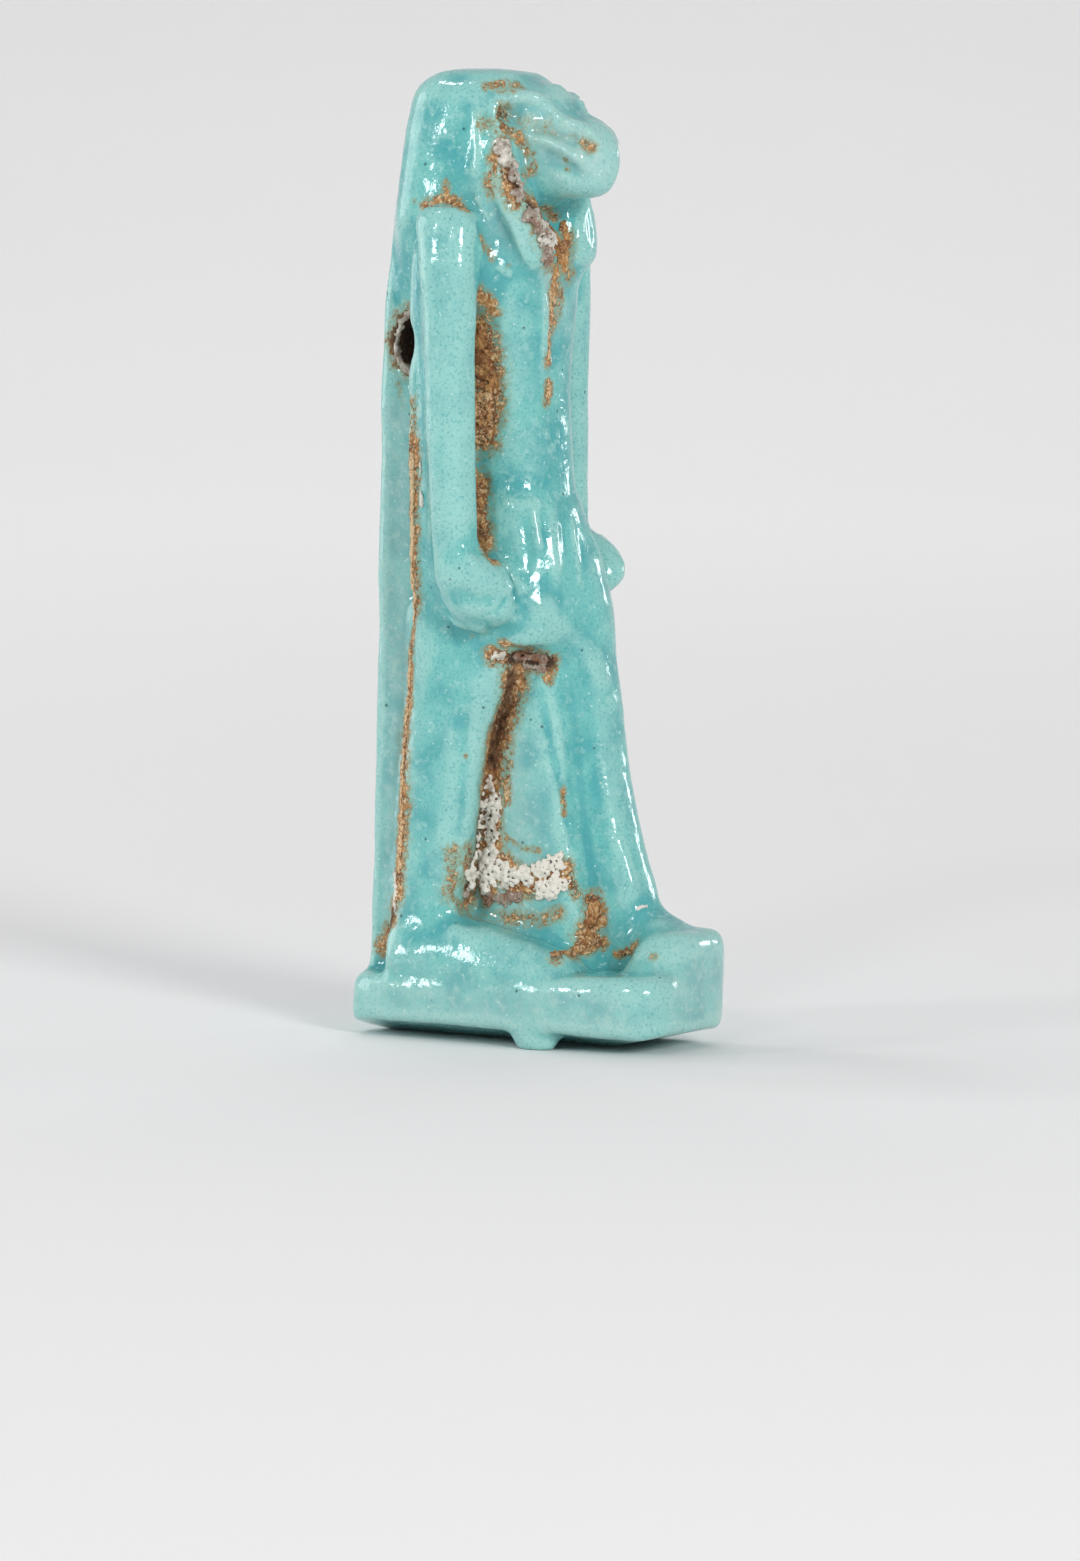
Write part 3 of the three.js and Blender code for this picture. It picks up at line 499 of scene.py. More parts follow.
CRUMBS = [
    ("crust_cleft", "lime", [(-3.2, 0.4, 37.6), (-3.2, 0.3, 37.0), (-3.1, 0.1, 36.4)], 0.36, 0.22, 0.50, 0.60),
    ("crust_cleft", "lime", [(-3.1, 0.1, 36.4), (-3.0, -0.1, 35.9), (-3.1, -0.4, 35.3)], 0.28, 0.18, 0.40, 0.48),
    ("crust_chin", "lime", [(-2.8, -0.7, 34.7), (-2.4, -0.8, 34.3), (-2.0, -0.9, 33.9)], 0.42, 0.20, 0.44, 0.48),
    ("crust_chin", "lime", [(-2.1, -0.9, 33.7), (-1.5, -0.9, 33.6), (-1.0, -0.8, 33.6)], 0.55, 0.16, 0.42, 0.74),
    ("crust_chin", "lime", [(-2.0, -0.95, 33.0), (-1.4, -0.9, 32.8)], 0.36, 0.12, 0.24, 0.34),
    ("earth_neck", "earth", [(0.0, 0.0, 34.3), (0.3, -0.2, 33.5), (0.4, -0.4, 32.7)], 0.34, 0.10, 0.20, 0.05),
    ("crust_leg", "lime", [(-1.1, 1.8, 11.0), (-1.15, 1.75, 10.5)], 0.22, 0.10, 0.20, 0.80),
    ("crust_leg", "lime", [(-1.2, 1.6, 10.3), (-1.2, 1.7, 9.2), (-1.2, 1.7, 8.3)], 0.50, 0.14, 0.30, 0.72),
    ("crust_leg", "lime", [(-1.3, 1.8, 8.0), (-1.3, 1.8, 7.1), (-1.4, 1.9, 6.3)], 0.60, 0.24, 0.40, 0.90),
    ("crust_leg", "lime", [(-1.2, 1.1, 7.6), (-1.3, 0.9, 6.7), (-1.2, 0.2, 7.1), (-1.2, -0.4, 7.0)], 0.46, 0.15, 0.30, 0.88),
    ("crust_leg", "lime", [(-1.5, 2.0, 5.9), (-1.3, 1.0, 5.9), (-1.2, 0.2, 6.1)], 0.30, 0.12, 0.20, 0.35),
    ("crust_shin", "lime", [(-1.2, -0.6, 7.1), (-1.1, -1.2, 7.5), (-1.0, -1.6, 7.7)], 0.46, 0.14, 0.30, 0.95),
    ("crust_shin", "lime", [(-1.2, -0.7, 6.4), (-1.1, -1.3, 6.4), (-1.0, -1.7, 6.9)], 0.50, 0.14, 0.30, 0.92),
    ("crust_chip", "lime", [(-4.5, 3.3, 23.0), (-4.5, 3.3, 22.4)], 0.14, 0.07, 0.10, 1.1),
    ("crust_chip", "lime", [(-4.5, 3.4, 24.3), (-4.5, 3.4, 23.7)], 0.06, 0.05, 0.08, 1.1),
    ("crust_chip", "lime", [(0.6, -4.4, 5.75), (1.1, -4.6, 5.8)], 0.10, 0.05, 0.08, 0.9),
    ("crust_hem", "lime", [(-2.8, 0.7, 16.3), (-2.5, 0.4, 16.3)], 0.20, 0.09, 0.14, 0.70),
    ("crust_hem", "lime", [(-1.9, 0.1, 16.2), (-1.3, -0.2, 16.1), (-1.0, -0.9, 16.1)], 0.24, 0.09, 0.16, 0.22),
    ("crust_hem", "lime", [(-1.4, 0.1, 15.8), (-1.1, -0.8, 15.7)], 0.16, 0.08, 0.12, 0.45),
    ("crust_hole", "lime", [(-2.3, 5.1, 30.5), (-2.3, 5.6, 30.1), (-2.3, 5.9, 29.4)], 0.22, 0.10, 0.18, 0.62),
    ("crust_hole", "lime", [(-2.3, 5.9, 29.2), (-2.3, 5.8, 28.4), (-2.3, 5.2, 28.0)], 0.26, 0.10, 0.18, 0.48),
    ("crust_groove", "lime", [(-2.8, 5.4, 6.9), (-2.9, 5.2, 6.1), (-2.9, 5.2, 5.2)], 0.16, 0.09, 0.10, 0.75),
    ("earth_groove", "earth", [(-4.35, 3.85, 24.6), (-4.3, 3.85, 21.8), (-4.2, 3.9, 20.2)], 0.16, 0.06, 0.10, 0.85),
    ("earth_groove", "earth", [(-4.2, 3.9, 20.2), (-4.0, 3.9, 18.7), (-3.4, 4.3, 17.4)], 0.15, 0.06, 0.10, 0.70),
    ("earth_groove", "earth", [(-2.8, 4.75, 16.3), (-2.7, 4.9, 14.2), (-2.6, 5.1, 12.5)], 0.18, 0.07, 0.10, 0.60),
    ("earth_groove", "earth", [(-2.6, 5.1, 12.5), (-2.9, 5.0, 10.0), (-3.0, 5.1, 7.0)], 0.20, 0.07, 0.12, 0.55),
    ("earth_gap", "earth", [(-3.2, 1.5, 29.8), (-3.0, 1.4, 28.6), (-2.9, 1.3, 27.2)], 0.50, 0.09, 0.18, 0.0),
    ("earth_gap", "earth", [(-2.9, 1.3, 27.2), (-2.8, 1.4, 26.2), (-2.8, 1.6, 25.2)], 0.50, 0.08, 0.16, 0.28),
    ("earth_gap", "earth", [(-2.8, 1.7, 23.6), (-2.9, 1.5, 22.2), (-3.1, 1.2, 20.9)], 0.30, 0.07, 0.12, 0.15),
    ("earth_furrow", "earth", [(-1.7, 0.5, 15.4), (-1.4, 0.9, 14.2), (-1.3, 1.3, 13.0), (-1.2, 1.7, 11.2)], 0.26, 0.07, 0.10, 0.0),
    ("earth_foot", "earth", [(0.0, -2.5, 6.0), (0.0, -2.6, 5.3), (-0.4, -2.6, 4.7)], 0.38, 0.12, 0.24, 0.05),
    ("earth_foot", "earth", [(0.1, -2.8, 4.4), (-0.9, -2.5, 4.1), (-2.2, -2.4, 3.8), (-2.7, -2.3, 3.7)], 0.24, 0.08, 0.12, 0.25),
    ("earth_toes", "earth", [(0.3, -3.8, 3.8), (0.1, -4.4, 4.0), (0.0, -4.8, 4.3)], 0.14, 0.08, 0.10, 0.30),
    ("earth_chest", "earth", [(-0.5, -0.5, 31.4), (-0.4, -0.5, 30.4)], 0.20, 0.07, 0.08, 0.60),
    ("earth_chest", "earth", [(-0.5, -0.5, 30.2), (-0.5, -0.5, 29.4), (-0.6, -0.4, 28.6)], 0.13, 0.07, 0.08, 0.55),
    ("earth_chest", "earth", [(-0.5, -0.4, 27.5), (-0.7, -0.5, 26.9)], 0.20, 0.07, 0.08, 0.50),
    ("earth_chest", "earth", [(0.5, -0.4, 34.4), (0.8, -0.4, 33.6), (0.6, -0.4, 32.6)], 0.22, 0.08, 0.08, 0.20),
]


# Materials

def add_node(tree, kind, settings=None, inputs=None):
    """Adds a node. An input given as (node, socket) makes a link, anything else is a value."""
    made = tree.nodes.new(kind)
    for key, value in (settings or {}).items():
        setattr(made, key, value)
    for key, value in (inputs or {}).items():
        if isinstance(value, tuple) and isinstance(value[0], bpy.types.Node):
            tree.links.new(value[0].outputs[value[1]], made.inputs[key])
        else:
            made.inputs[key].default_value = value
    return made


NOISE = "ShaderNodeTexNoise"
CELLS = "ShaderNodeTexVoronoi"
RANGE = "ShaderNodeMapRange"
MATHS = "ShaderNodeMath"
BLEND = "ShaderNodeMix"
KEPT = "ShaderNodeAttribute"
SOFT = {"interpolation_type": "SMOOTHSTEP"}
COLOURS = {"data_type": "RGBA"}


def rgba(three):
    """A colour with full alpha."""
    return (*three, 1.0)


def new_material(name):
    """An empty material, with its object coordinates and its shader."""
    made = bpy.data.materials.new(name)
    made.use_nodes = True
    tree = made.node_tree
    tree.nodes.clear()
    place = (add_node(tree, "ShaderNodeTexCoord"), "Object")
    shader = add_node(tree, "ShaderNodeBsdfPrincipled")
    add_node(tree, "ShaderNodeOutputMaterial", None, {"Surface": (shader, "BSDF")})
    return made, tree, place, shader


def glazed_faience(colours):
    """Faience: a crushed-quartz body under an alkaline copper glaze fired onto it. To the eye it
    is glossy turquoise, mottled and finely pitted, paler where the glaze is thin on a ridge and
    deeper where it ran together; tan earth has set dull in its hollows."""
    made, tree, place, shader = new_material("glazed_faience")
    hollow = (add_node(tree, KEPT, {"attribute_name": "hollow"}), "Fac")
    ridge = (add_node(tree, KEPT, {"attribute_name": "ridge"}), "Fac")
    earth = (add_node(tree, KEPT, {"attribute_name": "earth"}), "Fac")
    dark = (add_node(tree, KEPT, {"attribute_name": "dark"}), "Fac")

    # The glaze: clouds about 2 mm across, mottling of 0.4 mm, and grains of 0.13 mm
    clouds = add_node(tree, NOISE, None, {"Vector": place, "Scale": 1 / (1.6 * MM), "Detail": 3.0})
    mottle = add_node(tree, NOISE, None, {"Vector": place, "Scale": 1 / (0.4 * MM), "Detail": 3.0, "Roughness": 0.6})
    grains = add_node(tree, NOISE, None, {"Vector": place, "Scale": 1 / (0.13 * MM), "Detail": 2.0, "Roughness": 0.6})
    share = add_node(tree, RANGE, SOFT, {"Value": (clouds, "Fac"), "From Min": 0.40, "From Max": 0.62, "To Max": 0.75})
    base = add_node(tree, BLEND, COLOURS, {0: (share, 0), 6: rgba(colours.glaze), 7: rgba(colours.deep_glaze)})
    share = add_node(tree, RANGE, SOFT, {"Value": (mottle, "Fac"), "From Min": 0.50, "From Max": 0.68, "To Max": 0.50})
    base = add_node(tree, BLEND, COLOURS, {0: (share, 0), 6: (base, 2), 7: rgba(colours.pale_glaze)})
    share = add_node(tree, RANGE, SOFT, {"Value": hollow, "From Min": 0.10, "From Max": 0.90, "To Max": 0.70})
    base = add_node(tree, BLEND, COLOURS, {0: (share, 0), 6: (base, 2), 7: rgba(colours.deep_glaze)})
    share = add_node(tree, RANGE, SOFT, {"Value": ridge, "From Min": 0.05, "From Max": 0.80, "To Max": 0.70})
    base = add_node(tree, BLEND, COLOURS, {0: (share, 0), 6: (base, 2), 7: rgba(colours.pale_glaze)})
    share = add_node(tree, RANGE, SOFT, {"Value": (grains, "Fac"), "From Min": 0.50, "From Max": 0.70, "To Max": 0.55})
    base = add_node(tree, BLEND, COLOURS, {0: (share, 0), 6: (base, 2), 7: rgba(colours.deep_glaze)})

    # Worn glaze, thin and greyer over larger places
    worn = (add_node(tree, KEPT, {"attribute_name": "worn"}), "Fac")
    share = add_node(tree, MATHS, {"operation": "MULTIPLY"}, {0: worn, 1: (mottle, "Fac")})
    base = add_node(tree, BLEND, COLOURS, {0: (share, 0), 6: (base, 2), 7: rgba(colours.worn_glaze)})

    # Pale dots under 0.1 mm, partly quartz grains and partly painted glints, and dark specks of 0.1 mm that lie farther
    # apart
    cells = add_node(tree, CELLS, None, {"Vector": place, "Scale": 1 / (0.45 * MM)})
    share = add_node(tree, RANGE, SOFT, {"Value": (cells, "Distance"), "From Min": 0.14, "From Max": 0.06, "To Max": 0.6})
    base = add_node(tree, BLEND, COLOURS, {0: (share, 0), 6: (base, 2), 7: rgba(colours.quartz_and_glint)})
    cells = add_node(tree, CELLS, None, {"Vector": place, "Scale": 1 / (1.25 * MM)})
    share = add_node(tree, RANGE, SOFT, {"Value": (cells, "Distance"), "From Min": 0.075, "From Max": 0.035, "To Max": 0.75})
    base = add_node(tree, BLEND, COLOURS, {0: (share, 0), 6: (base, 2), 7: rgba(colours.speck)})

    # The earth: lumps of 0.5 mm and grains of 0.1 mm break its edge, and a stain goes before it
    lumps = add_node(tree, NOISE, None, {"Vector": place, "Scale": 1 / (0.6 * MM), "Detail": 4.0, "Roughness": 0.7})
    crumble = add_node(tree, NOISE, None, {"Vector": place, "Scale": 1 / (0.16 * MM), "Detail": 3.0, "Roughness": 0.7})
    ragged = add_node(tree, MATHS, {"operation": "ADD"}, {0: (crumble, "Fac"), 1: (lumps, "Fac")})
    reach = add_node(tree, MATHS, {"operation": "MULTIPLY_ADD"}, {0: (ragged, 0), 1: 1.5, 2: earth})
    stain = add_node(tree, RANGE, SOFT, {"Value": (reach, 0), "From Min": 1.50, "From Max": 2.10, "To Max": 0.75})
    soaked = add_node(tree, RANGE, SOFT, {"Value": earth, "From Min": 0.04, "From Max": 0.40})
    stain = add_node(tree, MATHS, {"operation": "MULTIPLY"}, {0: (stain, 0), 1: (soaked, 0)})
    base = add_node(tree, BLEND, COLOURS, {0: (stain, 0), 6: (base, 2), 7: rgba(colours.stain)})
    cover = add_node(tree, RANGE, SOFT, {"Value": (reach, 0), "From Min": 1.98, "From Max": 2.20})
    cover = add_node(tree, MATHS, {"operation": "MULTIPLY"}, {0: (cover, 0), 1: (soaked, 0)})
    sandy = add_node(tree, NOISE, None, {"Vector": place, "Scale": 1 / (0.15 * MM), "Detail": 2.0, "Roughness": 0.6})
    share = add_node(tree, RANGE, SOFT, {"Value": (lumps, "Fac"), "From Min": 0.40, "From Max": 0.60})
    soil = add_node(tree, BLEND, COLOURS, {0: (share, 0), 6: rgba(colours.brown_earth), 7: rgba(colours.earth)})
    share = add_node(tree, RANGE, SOFT, {"Value": (sandy, "Fac"), "From Min": 0.48, "From Max": 0.66, "To Max": 0.9})
    soil = add_node(tree, BLEND, COLOURS, {0: (share, 0), 6: (soil, 2), 7: rgba(colours.sand)})
    # Dark earth in the dark zones, partly painted shade in deep recesses, the eye hollow and the bore
    share = add_node(tree, RANGE, SOFT, {"Value": dark, "From Min": 0.15, "From Max": 0.85, "To Max": 0.95})
    soil = add_node(tree, BLEND, COLOURS, {0: (share, 0), 6: (soil, 2), 7: rgba(colours.dark_earth_and_shade)})
    coat = add_node(tree, BLEND, COLOURS, {0: (cover, 0), 6: (base, 2), 7: (soil, 2)})
    tree.links.new(coat.outputs[2], shader.inputs["Base Color"])

    # Gloss: the glaze is smooth between fine pits, the earth is dull
    gloss = add_node(tree, RANGE, SOFT, {"Value": (mottle, "Fac"), "From Min": 0.3, "From Max": 0.7, "To Min": 0.06, "To Max": 0.15})
    rough = add_node(tree, BLEND, {"data_type": "FLOAT"}, {0: (cover, 0), 2: (gloss, 0), 3: 0.85})
    tree.links.new(rough.outputs[0], shader.inputs["Roughness"])
    shader.inputs["IOR"].default_value = 1.5

    # Ripples of 0.45 mm, and pits of 0.11 mm that break the highlights into sparks
    ripple = add_node(tree, NOISE, None, {"Vector": place, "Scale": 1 / (0.45 * MM), "Detail": 1.0})
    pits = add_node(tree, NOISE, None, {"Vector": place, "Scale": 1 / (0.11 * MM), "Detail": 1.0})
    height = add_node(tree, MATHS, {"operation": "MULTIPLY_ADD"}, {0: (pits, "Fac"), 1: 0.20, 2: (ripple, "Fac")})
    soil_relief = add_node(tree, MATHS, {"operation": "MULTIPLY"}, {0: (cover, 0), 1: (crumble, "Fac")})
    height = add_node(tree, MATHS, {"operation": "MULTIPLY_ADD"}, {0: (soil_relief, 0), 1: 2.5, 2: (height, 0)})
    bump = add_node(tree, "ShaderNodeBump", None, {"Height": (height, 0), "Distance": 0.03 * MM, "Strength": 0.9})
    tree.links.new(bump.outputs["Normal"], shader.inputs["Normal"])
    return made


def lime_crust(colours):
    """Lime crust: salts that dried in the hollows during burial. To the eye it is dull and crumbly, white or pinkish
    grey on its lumps and brown to black in its cracks, where the black is partly dirt and partly painted shade."""
    made, tree, place, shader = new_material("lime_crust")
    hollow = (add_node(tree, KEPT, {"attribute_name": "hollow"}), "Fac")
    white = (add_node(tree, KEPT, {"attribute_name": "white"}), "Fac")
    blotch = add_node(tree, NOISE, None, {"Vector": place, "Scale": 1 / (0.3 * MM), "Detail": 3.0, "Roughness": 0.6})
    fine = add_node(tree, NOISE, None, {"Vector": place, "Scale": 1 / (0.09 * MM), "Detail": 3.0, "Roughness": 0.6})
    lift = add_node(tree, MATHS, {"operation": "ADD"}, {0: white, 1: (blotch, "Fac")})
    share = add_node(tree, RANGE, SOFT, {"Value": (lift, 0), "From Min": 0.70, "From Max": 1.05})
    base = add_node(tree, BLEND, COLOURS, {0: (share, 0), 6: rgba(colours.pink_lime), 7: rgba(colours.grey_lime)})
    share = add_node(tree, RANGE, SOFT, {"Value": (lift, 0), "From Min": 0.92, "From Max": 1.35})
    base = add_node(tree, BLEND, COLOURS, {0: (share, 0), 6: (base, 2), 7: rgba(colours.lime)})
    glints = add_node(tree, RANGE, SOFT, {"Value": (fine, "Fac"), "From Min": 0.56, "From Max": 0.70, "To Max": 0.7})
    base = add_node(tree, BLEND, COLOURS, {0: (glints, 0), 6: (base, 2), 7: rgba(colours.lime)})
    earthy = add_node(tree, MATHS, {"operation": "SUBTRACT"}, {0: (blotch, "Fac"), 1: white})
    share = add_node(tree, RANGE, SOFT, {"Value": (earthy, 0), "From Min": 0.10, "From Max": 0.40, "To Max": 0.75})
    base = add_node(tree, BLEND, COLOURS, {0: (share, 0), 6: (base, 2), 7: rgba(colours.brown_earth)})
    # Painted shade with black dirt: the crust is darker in the hollows between its crumbs
    crack_and_shade = add_node(tree, MATHS, {"operation": "MULTIPLY_ADD"}, {0: (fine, "Fac"), 1: 0.9, 2: hollow})
    share = add_node(tree, RANGE, SOFT, {"Value": (crack_and_shade, 0), "From Min": 0.72, "From Max": 1.12, "To Max": 0.95})
    base = add_node(tree, BLEND, COLOURS, {0: (share, 0), 6: (base, 2), 7: rgba(colours.soot_and_shade)})
    tree.links.new(base.outputs[2], shader.inputs["Base Color"])
    shader.inputs["Roughness"].default_value = 0.75
    bump = add_node(tree, "ShaderNodeBump", None, {"Height": (fine, "Fac"), "Distance": 0.04 * MM, "Strength": 0.9})
    tree.links.new(bump.outputs["Normal"], shader.inputs["Normal"])
    return made


def dry_earth(colours):
    """Dry earth: sandy clay that was pressed into the hollows. To the eye it is a dull tan of fine grains, some pale
    and some brown, dark between them, where the dark is partly dirt and partly painted shade."""
    made, tree, place, shader = new_material("dry_earth")
    hollow = (add_node(tree, KEPT, {"attribute_name": "hollow"}), "Fac")
    white = (add_node(tree, KEPT, {"attribute_name": "white"}), "Fac")
    dark = (add_node(tree, KEPT, {"attribute_name": "dark"}), "Fac")
    blotch = add_node(tree, NOISE, None, {"Vector": place, "Scale": 1 / (0.4 * MM), "Detail": 3.0, "Roughness": 0.6})
    fine = add_node(tree, NOISE, None, {"Vector": place, "Scale": 1 / (0.10 * MM), "Detail": 3.0, "Roughness": 0.6})
    share = add_node(tree, RANGE, SOFT, {"Value": (blotch, "Fac"), "From Min": 0.40, "From Max": 0.60})
    base = add_node(tree, BLEND, COLOURS, {0: (share, 0), 6: rgba(colours.brown_earth), 7: rgba(colours.earth)})
    pale = add_node(tree, MATHS, {"operation": "MULTIPLY_ADD"}, {0: white, 1: 0.4, 2: (fine, "Fac")})
    share = add_node(tree, RANGE, SOFT, {"Value": (pale, 0), "From Min": 0.56, "From Max": 0.82, "To Max": 0.95})
    base = add_node(tree, BLEND, COLOURS, {0: (share, 0), 6: (base, 2), 7: rgba(colours.sand)})
    # Painted shade with dark earth: the earth is darker in the hollows between its grains
    crack_and_shade = add_node(tree, MATHS, {"operation": "MULTIPLY_ADD"}, {0: (fine, "Fac"), 1: 0.7, 2: hollow})
    share = add_node(tree, RANGE, SOFT, {"Value": (crack_and_shade, 0), "From Min": 0.70, "From Max": 1.20, "To Max": 0.8})
    base = add_node(tree, BLEND, COLOURS, {0: (share, 0), 6: (base, 2), 7: rgba(colours.dark_earth_and_shade)})
    # Darker in the dark zones: partly dark earth, partly painted shade in deep recesses
    share = add_node(tree, RANGE, SOFT, {"Value": dark, "From Min": 0.20, "From Max": 0.90, "To Max": 0.85})
    base = add_node(tree, BLEND, COLOURS, {0: (share, 0), 6: (base, 2), 7: rgba(colours.dark_earth_and_shade)})
    tree.links.new(base.outputs[2], shader.inputs["Base Color"])
    shader.inputs["Roughness"].default_value = 0.85
    bump = add_node(tree, "ShaderNodeBump", None, {"Height": (fine, "Fac"), "Distance": 0.04 * MM, "Strength": 0.9})
    tree.links.new(bump.outputs["Normal"], shader.inputs["Normal"])
    return made


def studio_paper(colours):
    """Seamless paper: a matte pale sheet whose fibres are too fine to show at this distance, so
    only its slow change of tone is drawn."""
    made, tree, place, shader = new_material("studio_paper")
    tone = add_node(tree, NOISE, None, {"Vector": place, "Scale": 1 / (60 * MM)})
    share = add_node(tree, RANGE, SOFT, {"Value": (tone, "Fac"), "From Min": 0.3, "From Max": 0.7, "To Max": 0.04})
    base = add_node(tree, BLEND, COLOURS, {0: (share, 0), 6: rgba(colours.floor), 7: (0.8, 0.8, 0.8, 1.0)})
    tree.links.new(base.outputs[2], shader.inputs["Base Color"])
    shader.inputs["Roughness"].default_value = 0.9
    return made


# Operators

class AMULET_OT_body(bpy.types.Operator):
    """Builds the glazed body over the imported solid, with its fine relief"""

    bl_idname = "amulet.body"
    bl_label = "Glazed body"

    def execute(self, context):
        sizes = context.scene.amulet_sizes
        bm = bmesh.new()
        bm.from_mesh(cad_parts["amulet"].data)
        bmesh.ops.remove_doubles(bm, verts=bm.verts, dist=0.002 * MM)
        bmesh.ops.scale(bm, vec=(1 / MM,) * 3, verts=bm.verts)
        merged = bpy.data.meshes.new("amulet_merged")
        bm.to_mesh(merged)
        bm.free()
        mesh = remeshed(merged, sizes.grid / MM)
        bpy.data.meshes.remove(merged)

        edges = edges_of(mesh)
        points = rounded(mesh, points_of(mesh), edges, sizes)
        drowned = zone_strength(points, DROWNED_EDGES)[:, None]
        points = points + drowned * (smoothed(points, edges, sizes.melting) - points)
        set_points(mesh, points)
        normals = normals_of(mesh)

        lift = np.zeros(len(points))
        for name, line, reach, rise in both_sides(HEAD_MARKS) + RIGHT_MARKS + OTHER_MARKS:
            away, along = line_distance(points, line)
            ends = np.clip(np.minimum(along, 1 - along) / 0.15, 0.3, 1)
            lift += rise * ends * np.exp(-((away / reach) ** 2))
        lift += sizes.swell / MM * wave(points, 2.1, 3.0)
        lift += sizes.ripple / MM * wave(points, 0.6, 8.0)

        earth = zone_strength(points, EARTH_ZONES)
        dark = zone_strength(points, DARK_ZONES)
        lift += 0.08 * earth * wave(points, 0.32, 5.0)

        flat = np.clip((points[:, 2] - 0.05) / 0.6, 0, 1)
        points = points + normals * (lift * flat)[:, None]
        points[:, 2] = np.maximum(points[:, 2], 0.0)
        set_points(mesh, points)

        normals = normals_of(mesh)
        near = ((smoothed(points, edges, 14) - points) * normals).sum(1)
        wide = ((smoothed(points, edges, 120) - points) * normals).sum(1)
        keep_attribute(mesh, "hollow", near / 0.06 + wide / 0.5)
        keep_attribute(mesh, "ridge", -near / 0.06 - wide / 0.5)
        keep_attribute(mesh, "earth", earth)
        keep_attribute(mesh, "dark", dark)
        keep_attribute(mesh, "worn", zone_strength(points, WORN_ZONES))
        set_points(mesh, points * MM)
        made = finished("amulet_body", mesh, glazed_faience(context.scene.amulet_colours))
        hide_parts("amulet")
        return {"FINISHED"}


class AMULET_OT_crusts(bpy.types.Operator):
    """Builds the crumbs of lime and earth that stand in the hollows"""

    bl_idname = "amulet.crusts"
    bl_label = "Crusts"

    def execute(self, context):
        sizes = context.scene.amulet_sizes
        body = bpy.data.objects.get("amulet_body")
        if body is None:
            raise RuntimeError("the glazed body has to be built before its crusts")
        surface = BVHTree.FromObject(body, context.evaluated_depsgraph_get())
        colours = context.scene.amulet_colours
        finishes = {"lime": lime_crust(colours), "earth": dry_earth(colours)}
        for piece in dict.fromkeys(row[0] for row in CRUMBS):
            rows = [row for row in CRUMBS if row[0] == piece]
            draw = random.Random(piece)
            heap = bpy.data.meshes.new(piece + "_heap")
            whole = bmesh.new()
            for _, _, line, width, crumb, rise, _ in rows:
                bm = bmesh.new()
                heap_crumbs(bm, surface, draw, line, width, crumb, rise)
                bm.to_mesh(heap)
                bm.free()
                whole.from_mesh(heap)
            whole.to_mesh(heap)
            whole.free()
            mesh = remeshed(heap, sizes.crumb_grid / MM)
            bpy.data.meshes.remove(heap)
            edges = edges_of(mesh)
            points = smoothed(points_of(mesh), edges, 1)
            set_points(mesh, points)
            normals = normals_of(mesh)
            rough = 0.035 * wave(points, 0.16, 2.0) + 0.025 * wave(points, 0.08, 6.0)
            points = points + normals * rough[:, None]
            set_points(mesh, points)
            normals = normals_of(mesh)
            near = ((smoothed(points, edges, 10) - points) * normals).sum(1)
            keep_attribute(mesh, "hollow", near / 0.035)
            keep_attribute(mesh, "white", whiteness_of(points, rows))
            keep_attribute(mesh, "dark", zone_strength(points, DARK_ZONES))
            set_points(mesh, points * MM)
            finished(piece, mesh, finishes[rows[0][1]])
        return {"FINISHED"}


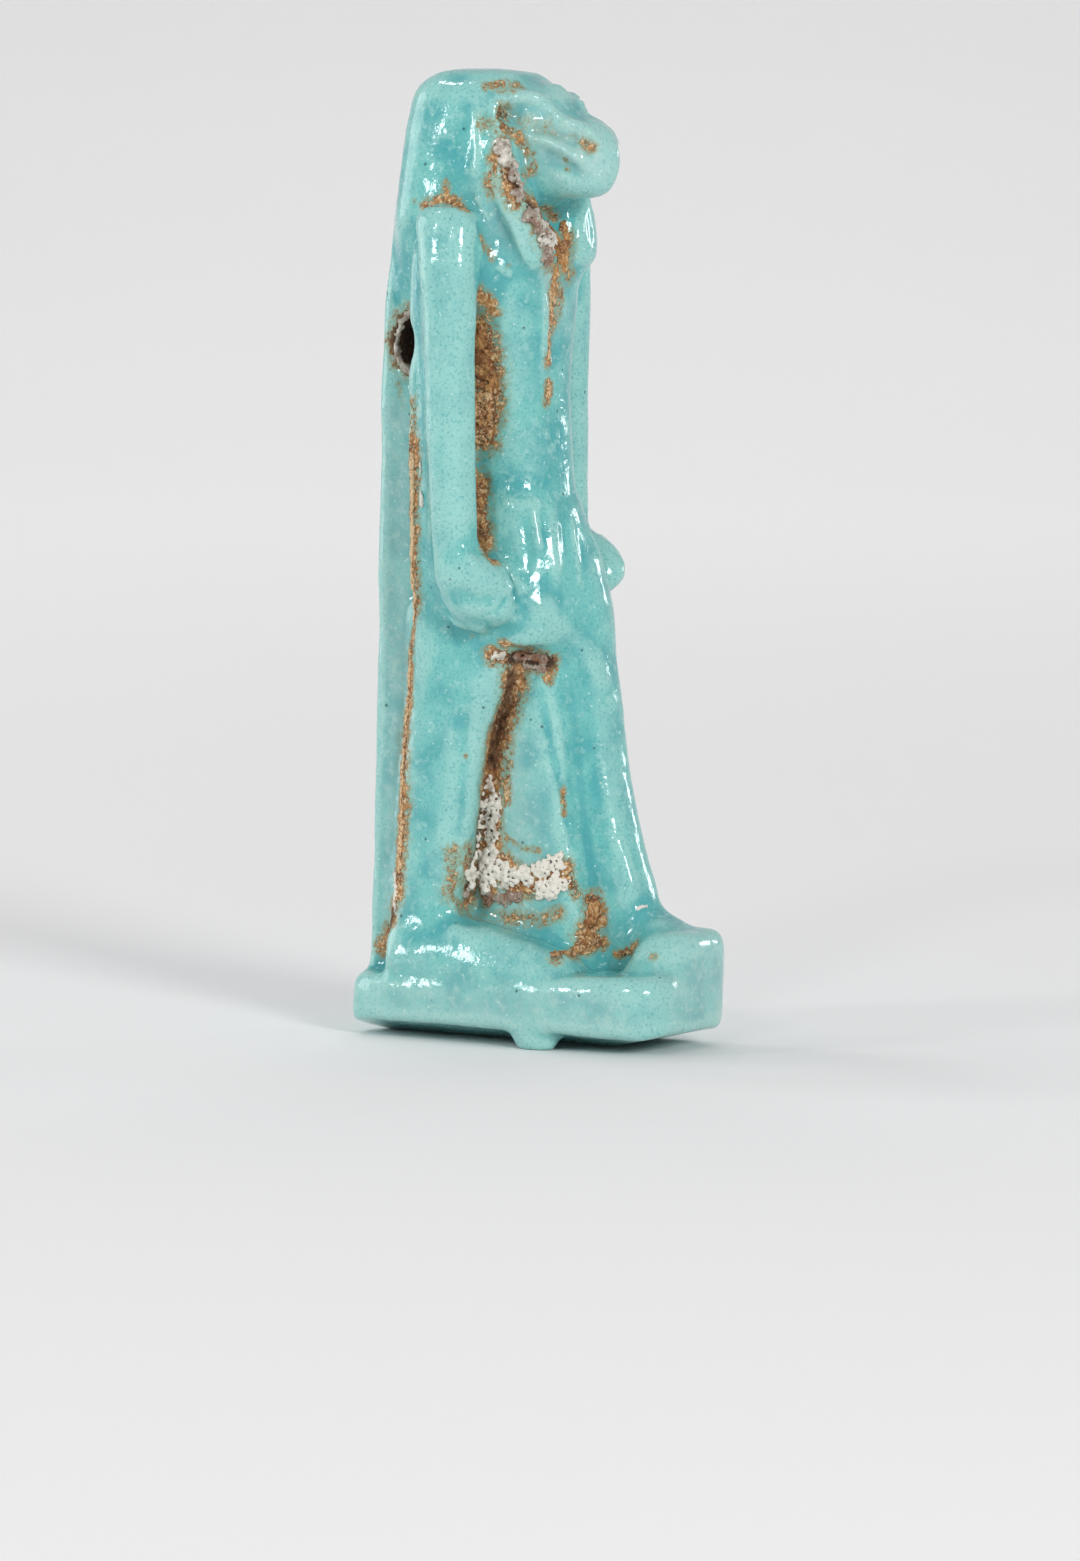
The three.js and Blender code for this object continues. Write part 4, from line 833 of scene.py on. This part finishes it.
class AMULET_OT_stage(bpy.types.Operator):
    """Builds the pale floor, the soft lights and the camera"""

    bl_idname = "amulet.stage"
    bl_label = "Stage"

    # The camera: a long lens at the right side, turned 30 degrees to the front, in metres
    AZIMUTH = -60.0
    DISTANCE = 0.318
    HEIGHT = 0.037
    PITCH = 4.69
    ROLL = 0.9
    LENS = 175.27

    # Lamps half a metre off: name, degrees right of the camera, degrees up, width, height
    LIGHTS = [
        ("key", 30, 21, 0.12, 0.11),
        ("fill", -64, 17, 0.06, 0.10),
        ("front", -20, 26, 0.05, 0.05),
        ("side", -108, 14, 0.30, 0.34),
        ("rim", 126, 10, 0.04, 0.10),
        ("top", -130, 60, 0.06, 0.06),
        ("back", 180, 41, 0.50, 0.30),
    ]

    def execute(self, context):
        scene = context.scene
        colours = scene.amulet_colours
        studio = scene.amulet_studio
        scene.view_settings.view_transform = "Standard"

        bm = bmesh.new()
        corners = [(0.0, 0.0), (0.55, 0.0)]
        corners += [
            (0.55 + 0.6 * math.sin(t), 0.6 - 0.6 * math.cos(t))
            for t in [math.radians(6 * i) for i in range(1, 16)]
        ]
        row = [bm.verts.new((x, 0.0, z)) for x, z in corners]
        edges = [bm.edges.new(pair) for pair in zip(row, row[1:])]
        bmesh.ops.spin(
            bm, geom=row + edges, axis=(0, 0, 1), cent=(0, 0, 0), angle=math.tau, steps=72, use_merge=True
        )
        bmesh.ops.remove_doubles(bm, verts=bm.verts, dist=1e-6)
        bmesh.ops.recalc_face_normals(bm, faces=bm.faces)
        sheet = bpy.data.meshes.new("floor")
        bm.to_mesh(sheet)
        bm.free()
        sheet.polygons.foreach_set("use_smooth", [True] * len(sheet.polygons))
        sheet.materials.append(studio_paper(colours))
        floor = bpy.data.objects.new("floor", sheet)
        scene.collection.objects.link(floor)

        world = bpy.data.worlds.new("studio_air")
        world.use_nodes = True
        air = world.node_tree.nodes["Background"]
        air.inputs["Color"].default_value = (0.96, 0.98, 1.0, 1.0)
        air.inputs["Strength"].default_value = studio.sky
        scene.world = world

        middle = Vector((0, 0, 0.02))
        turn = math.radians(self.AZIMUTH)
        right = Vector((math.cos(turn), math.sin(turn), 0))
        away = Vector((-math.sin(turn), math.cos(turn), 0))
        up = Vector((0, 0, 1))
        for name, side, rise, wide, tall in self.LIGHTS:
            level = (right * math.sin(math.radians(side)) - away * math.cos(math.radians(side)))
            offset = 0.5 * (level * math.cos(math.radians(rise)) + up * math.sin(math.radians(rise)))
            aim = middle
            if name == "back":
                offset, aim = offset * 1.46, away * 0.55
            lamp = bpy.data.lights.new(name, "AREA")
            lamp.shape = "RECTANGLE"
            lamp.size = wide
            lamp.size_y = tall
            lamp.energy = getattr(studio, name)
            holder = bpy.data.objects.new(name, lamp)
            holder.location = middle + offset
            holder.rotation_euler = (aim - middle - offset).to_track_quat("-Z", "Y").to_euler()
            holder.visible_camera = False
            holder.visible_glossy = name != "back"
            scene.collection.objects.link(holder)

        pitch, roll = math.radians(self.PITCH), math.radians(self.ROLL)
        ahead = away * math.cos(pitch) - up * math.sin(pitch)
        above = up * math.cos(pitch) + away * math.sin(pitch)
        across = right * math.cos(roll) + above * math.sin(roll)
        above = above * math.cos(roll) - right * math.sin(roll)
        lens = bpy.data.cameras.new("camera")
        lens.lens = self.LENS
        lens.sensor_width = 36.0
        lens.clip_start = 0.01
        lens.clip_end = 20.0
        camera = bpy.data.objects.new("camera", lens)
        place = -away * self.DISTANCE + up * self.HEIGHT
        camera.matrix_world = Matrix(
            [(across[i], above[i], -ahead[i], place[i]) for i in range(3)] + [(0, 0, 0, 1)]
        )
        scene.collection.objects.link(camera)
        scene.camera = camera
        return {"FINISHED"}


class AMULET_PT_panel(bpy.types.Panel):
    """Lists the steps that build the amulet."""

    bl_idname = "AMULET_PT_panel"
    bl_label = "Faience amulet"
    bl_space_type = "VIEW_3D"
    bl_region_type = "UI"
    bl_category = "Amulet"

    def draw(self, context):
        column = self.layout.column()
        for step in STEPS:
            column.operator(step)
        for group in (context.scene.amulet_sizes, context.scene.amulet_colours, context.scene.amulet_studio):
            for key in group.bl_rna.properties.keys():
                if key not in ("rna_type", "name"):
                    column.prop(group, key)


STEPS = ["amulet.body", "amulet.crusts", "amulet.stage"]
GROUPS = {"amulet_sizes": AmuletSizes, "amulet_colours": AmuletColours, "amulet_studio": AmuletStudio}
CLASSES = [*GROUPS.values(), AMULET_OT_body, AMULET_OT_crusts, AMULET_OT_stage, AMULET_PT_panel]


def register():
    for kind in CLASSES:
        bpy.utils.register_class(kind)
    for name, group in GROUPS.items():
        setattr(bpy.types.Scene, name, PointerProperty(type=group))


def unregister():
    for name in GROUPS:
        delattr(bpy.types.Scene, name)
    for kind in reversed(CLASSES):
        bpy.utils.unregister_class(kind)


def main():
    """Builds every piece in order."""
    register()
    bpy.ops.amulet.body()
    bpy.ops.amulet.crusts()
    bpy.ops.amulet.stage()


if __name__ == "__main__":
    main()
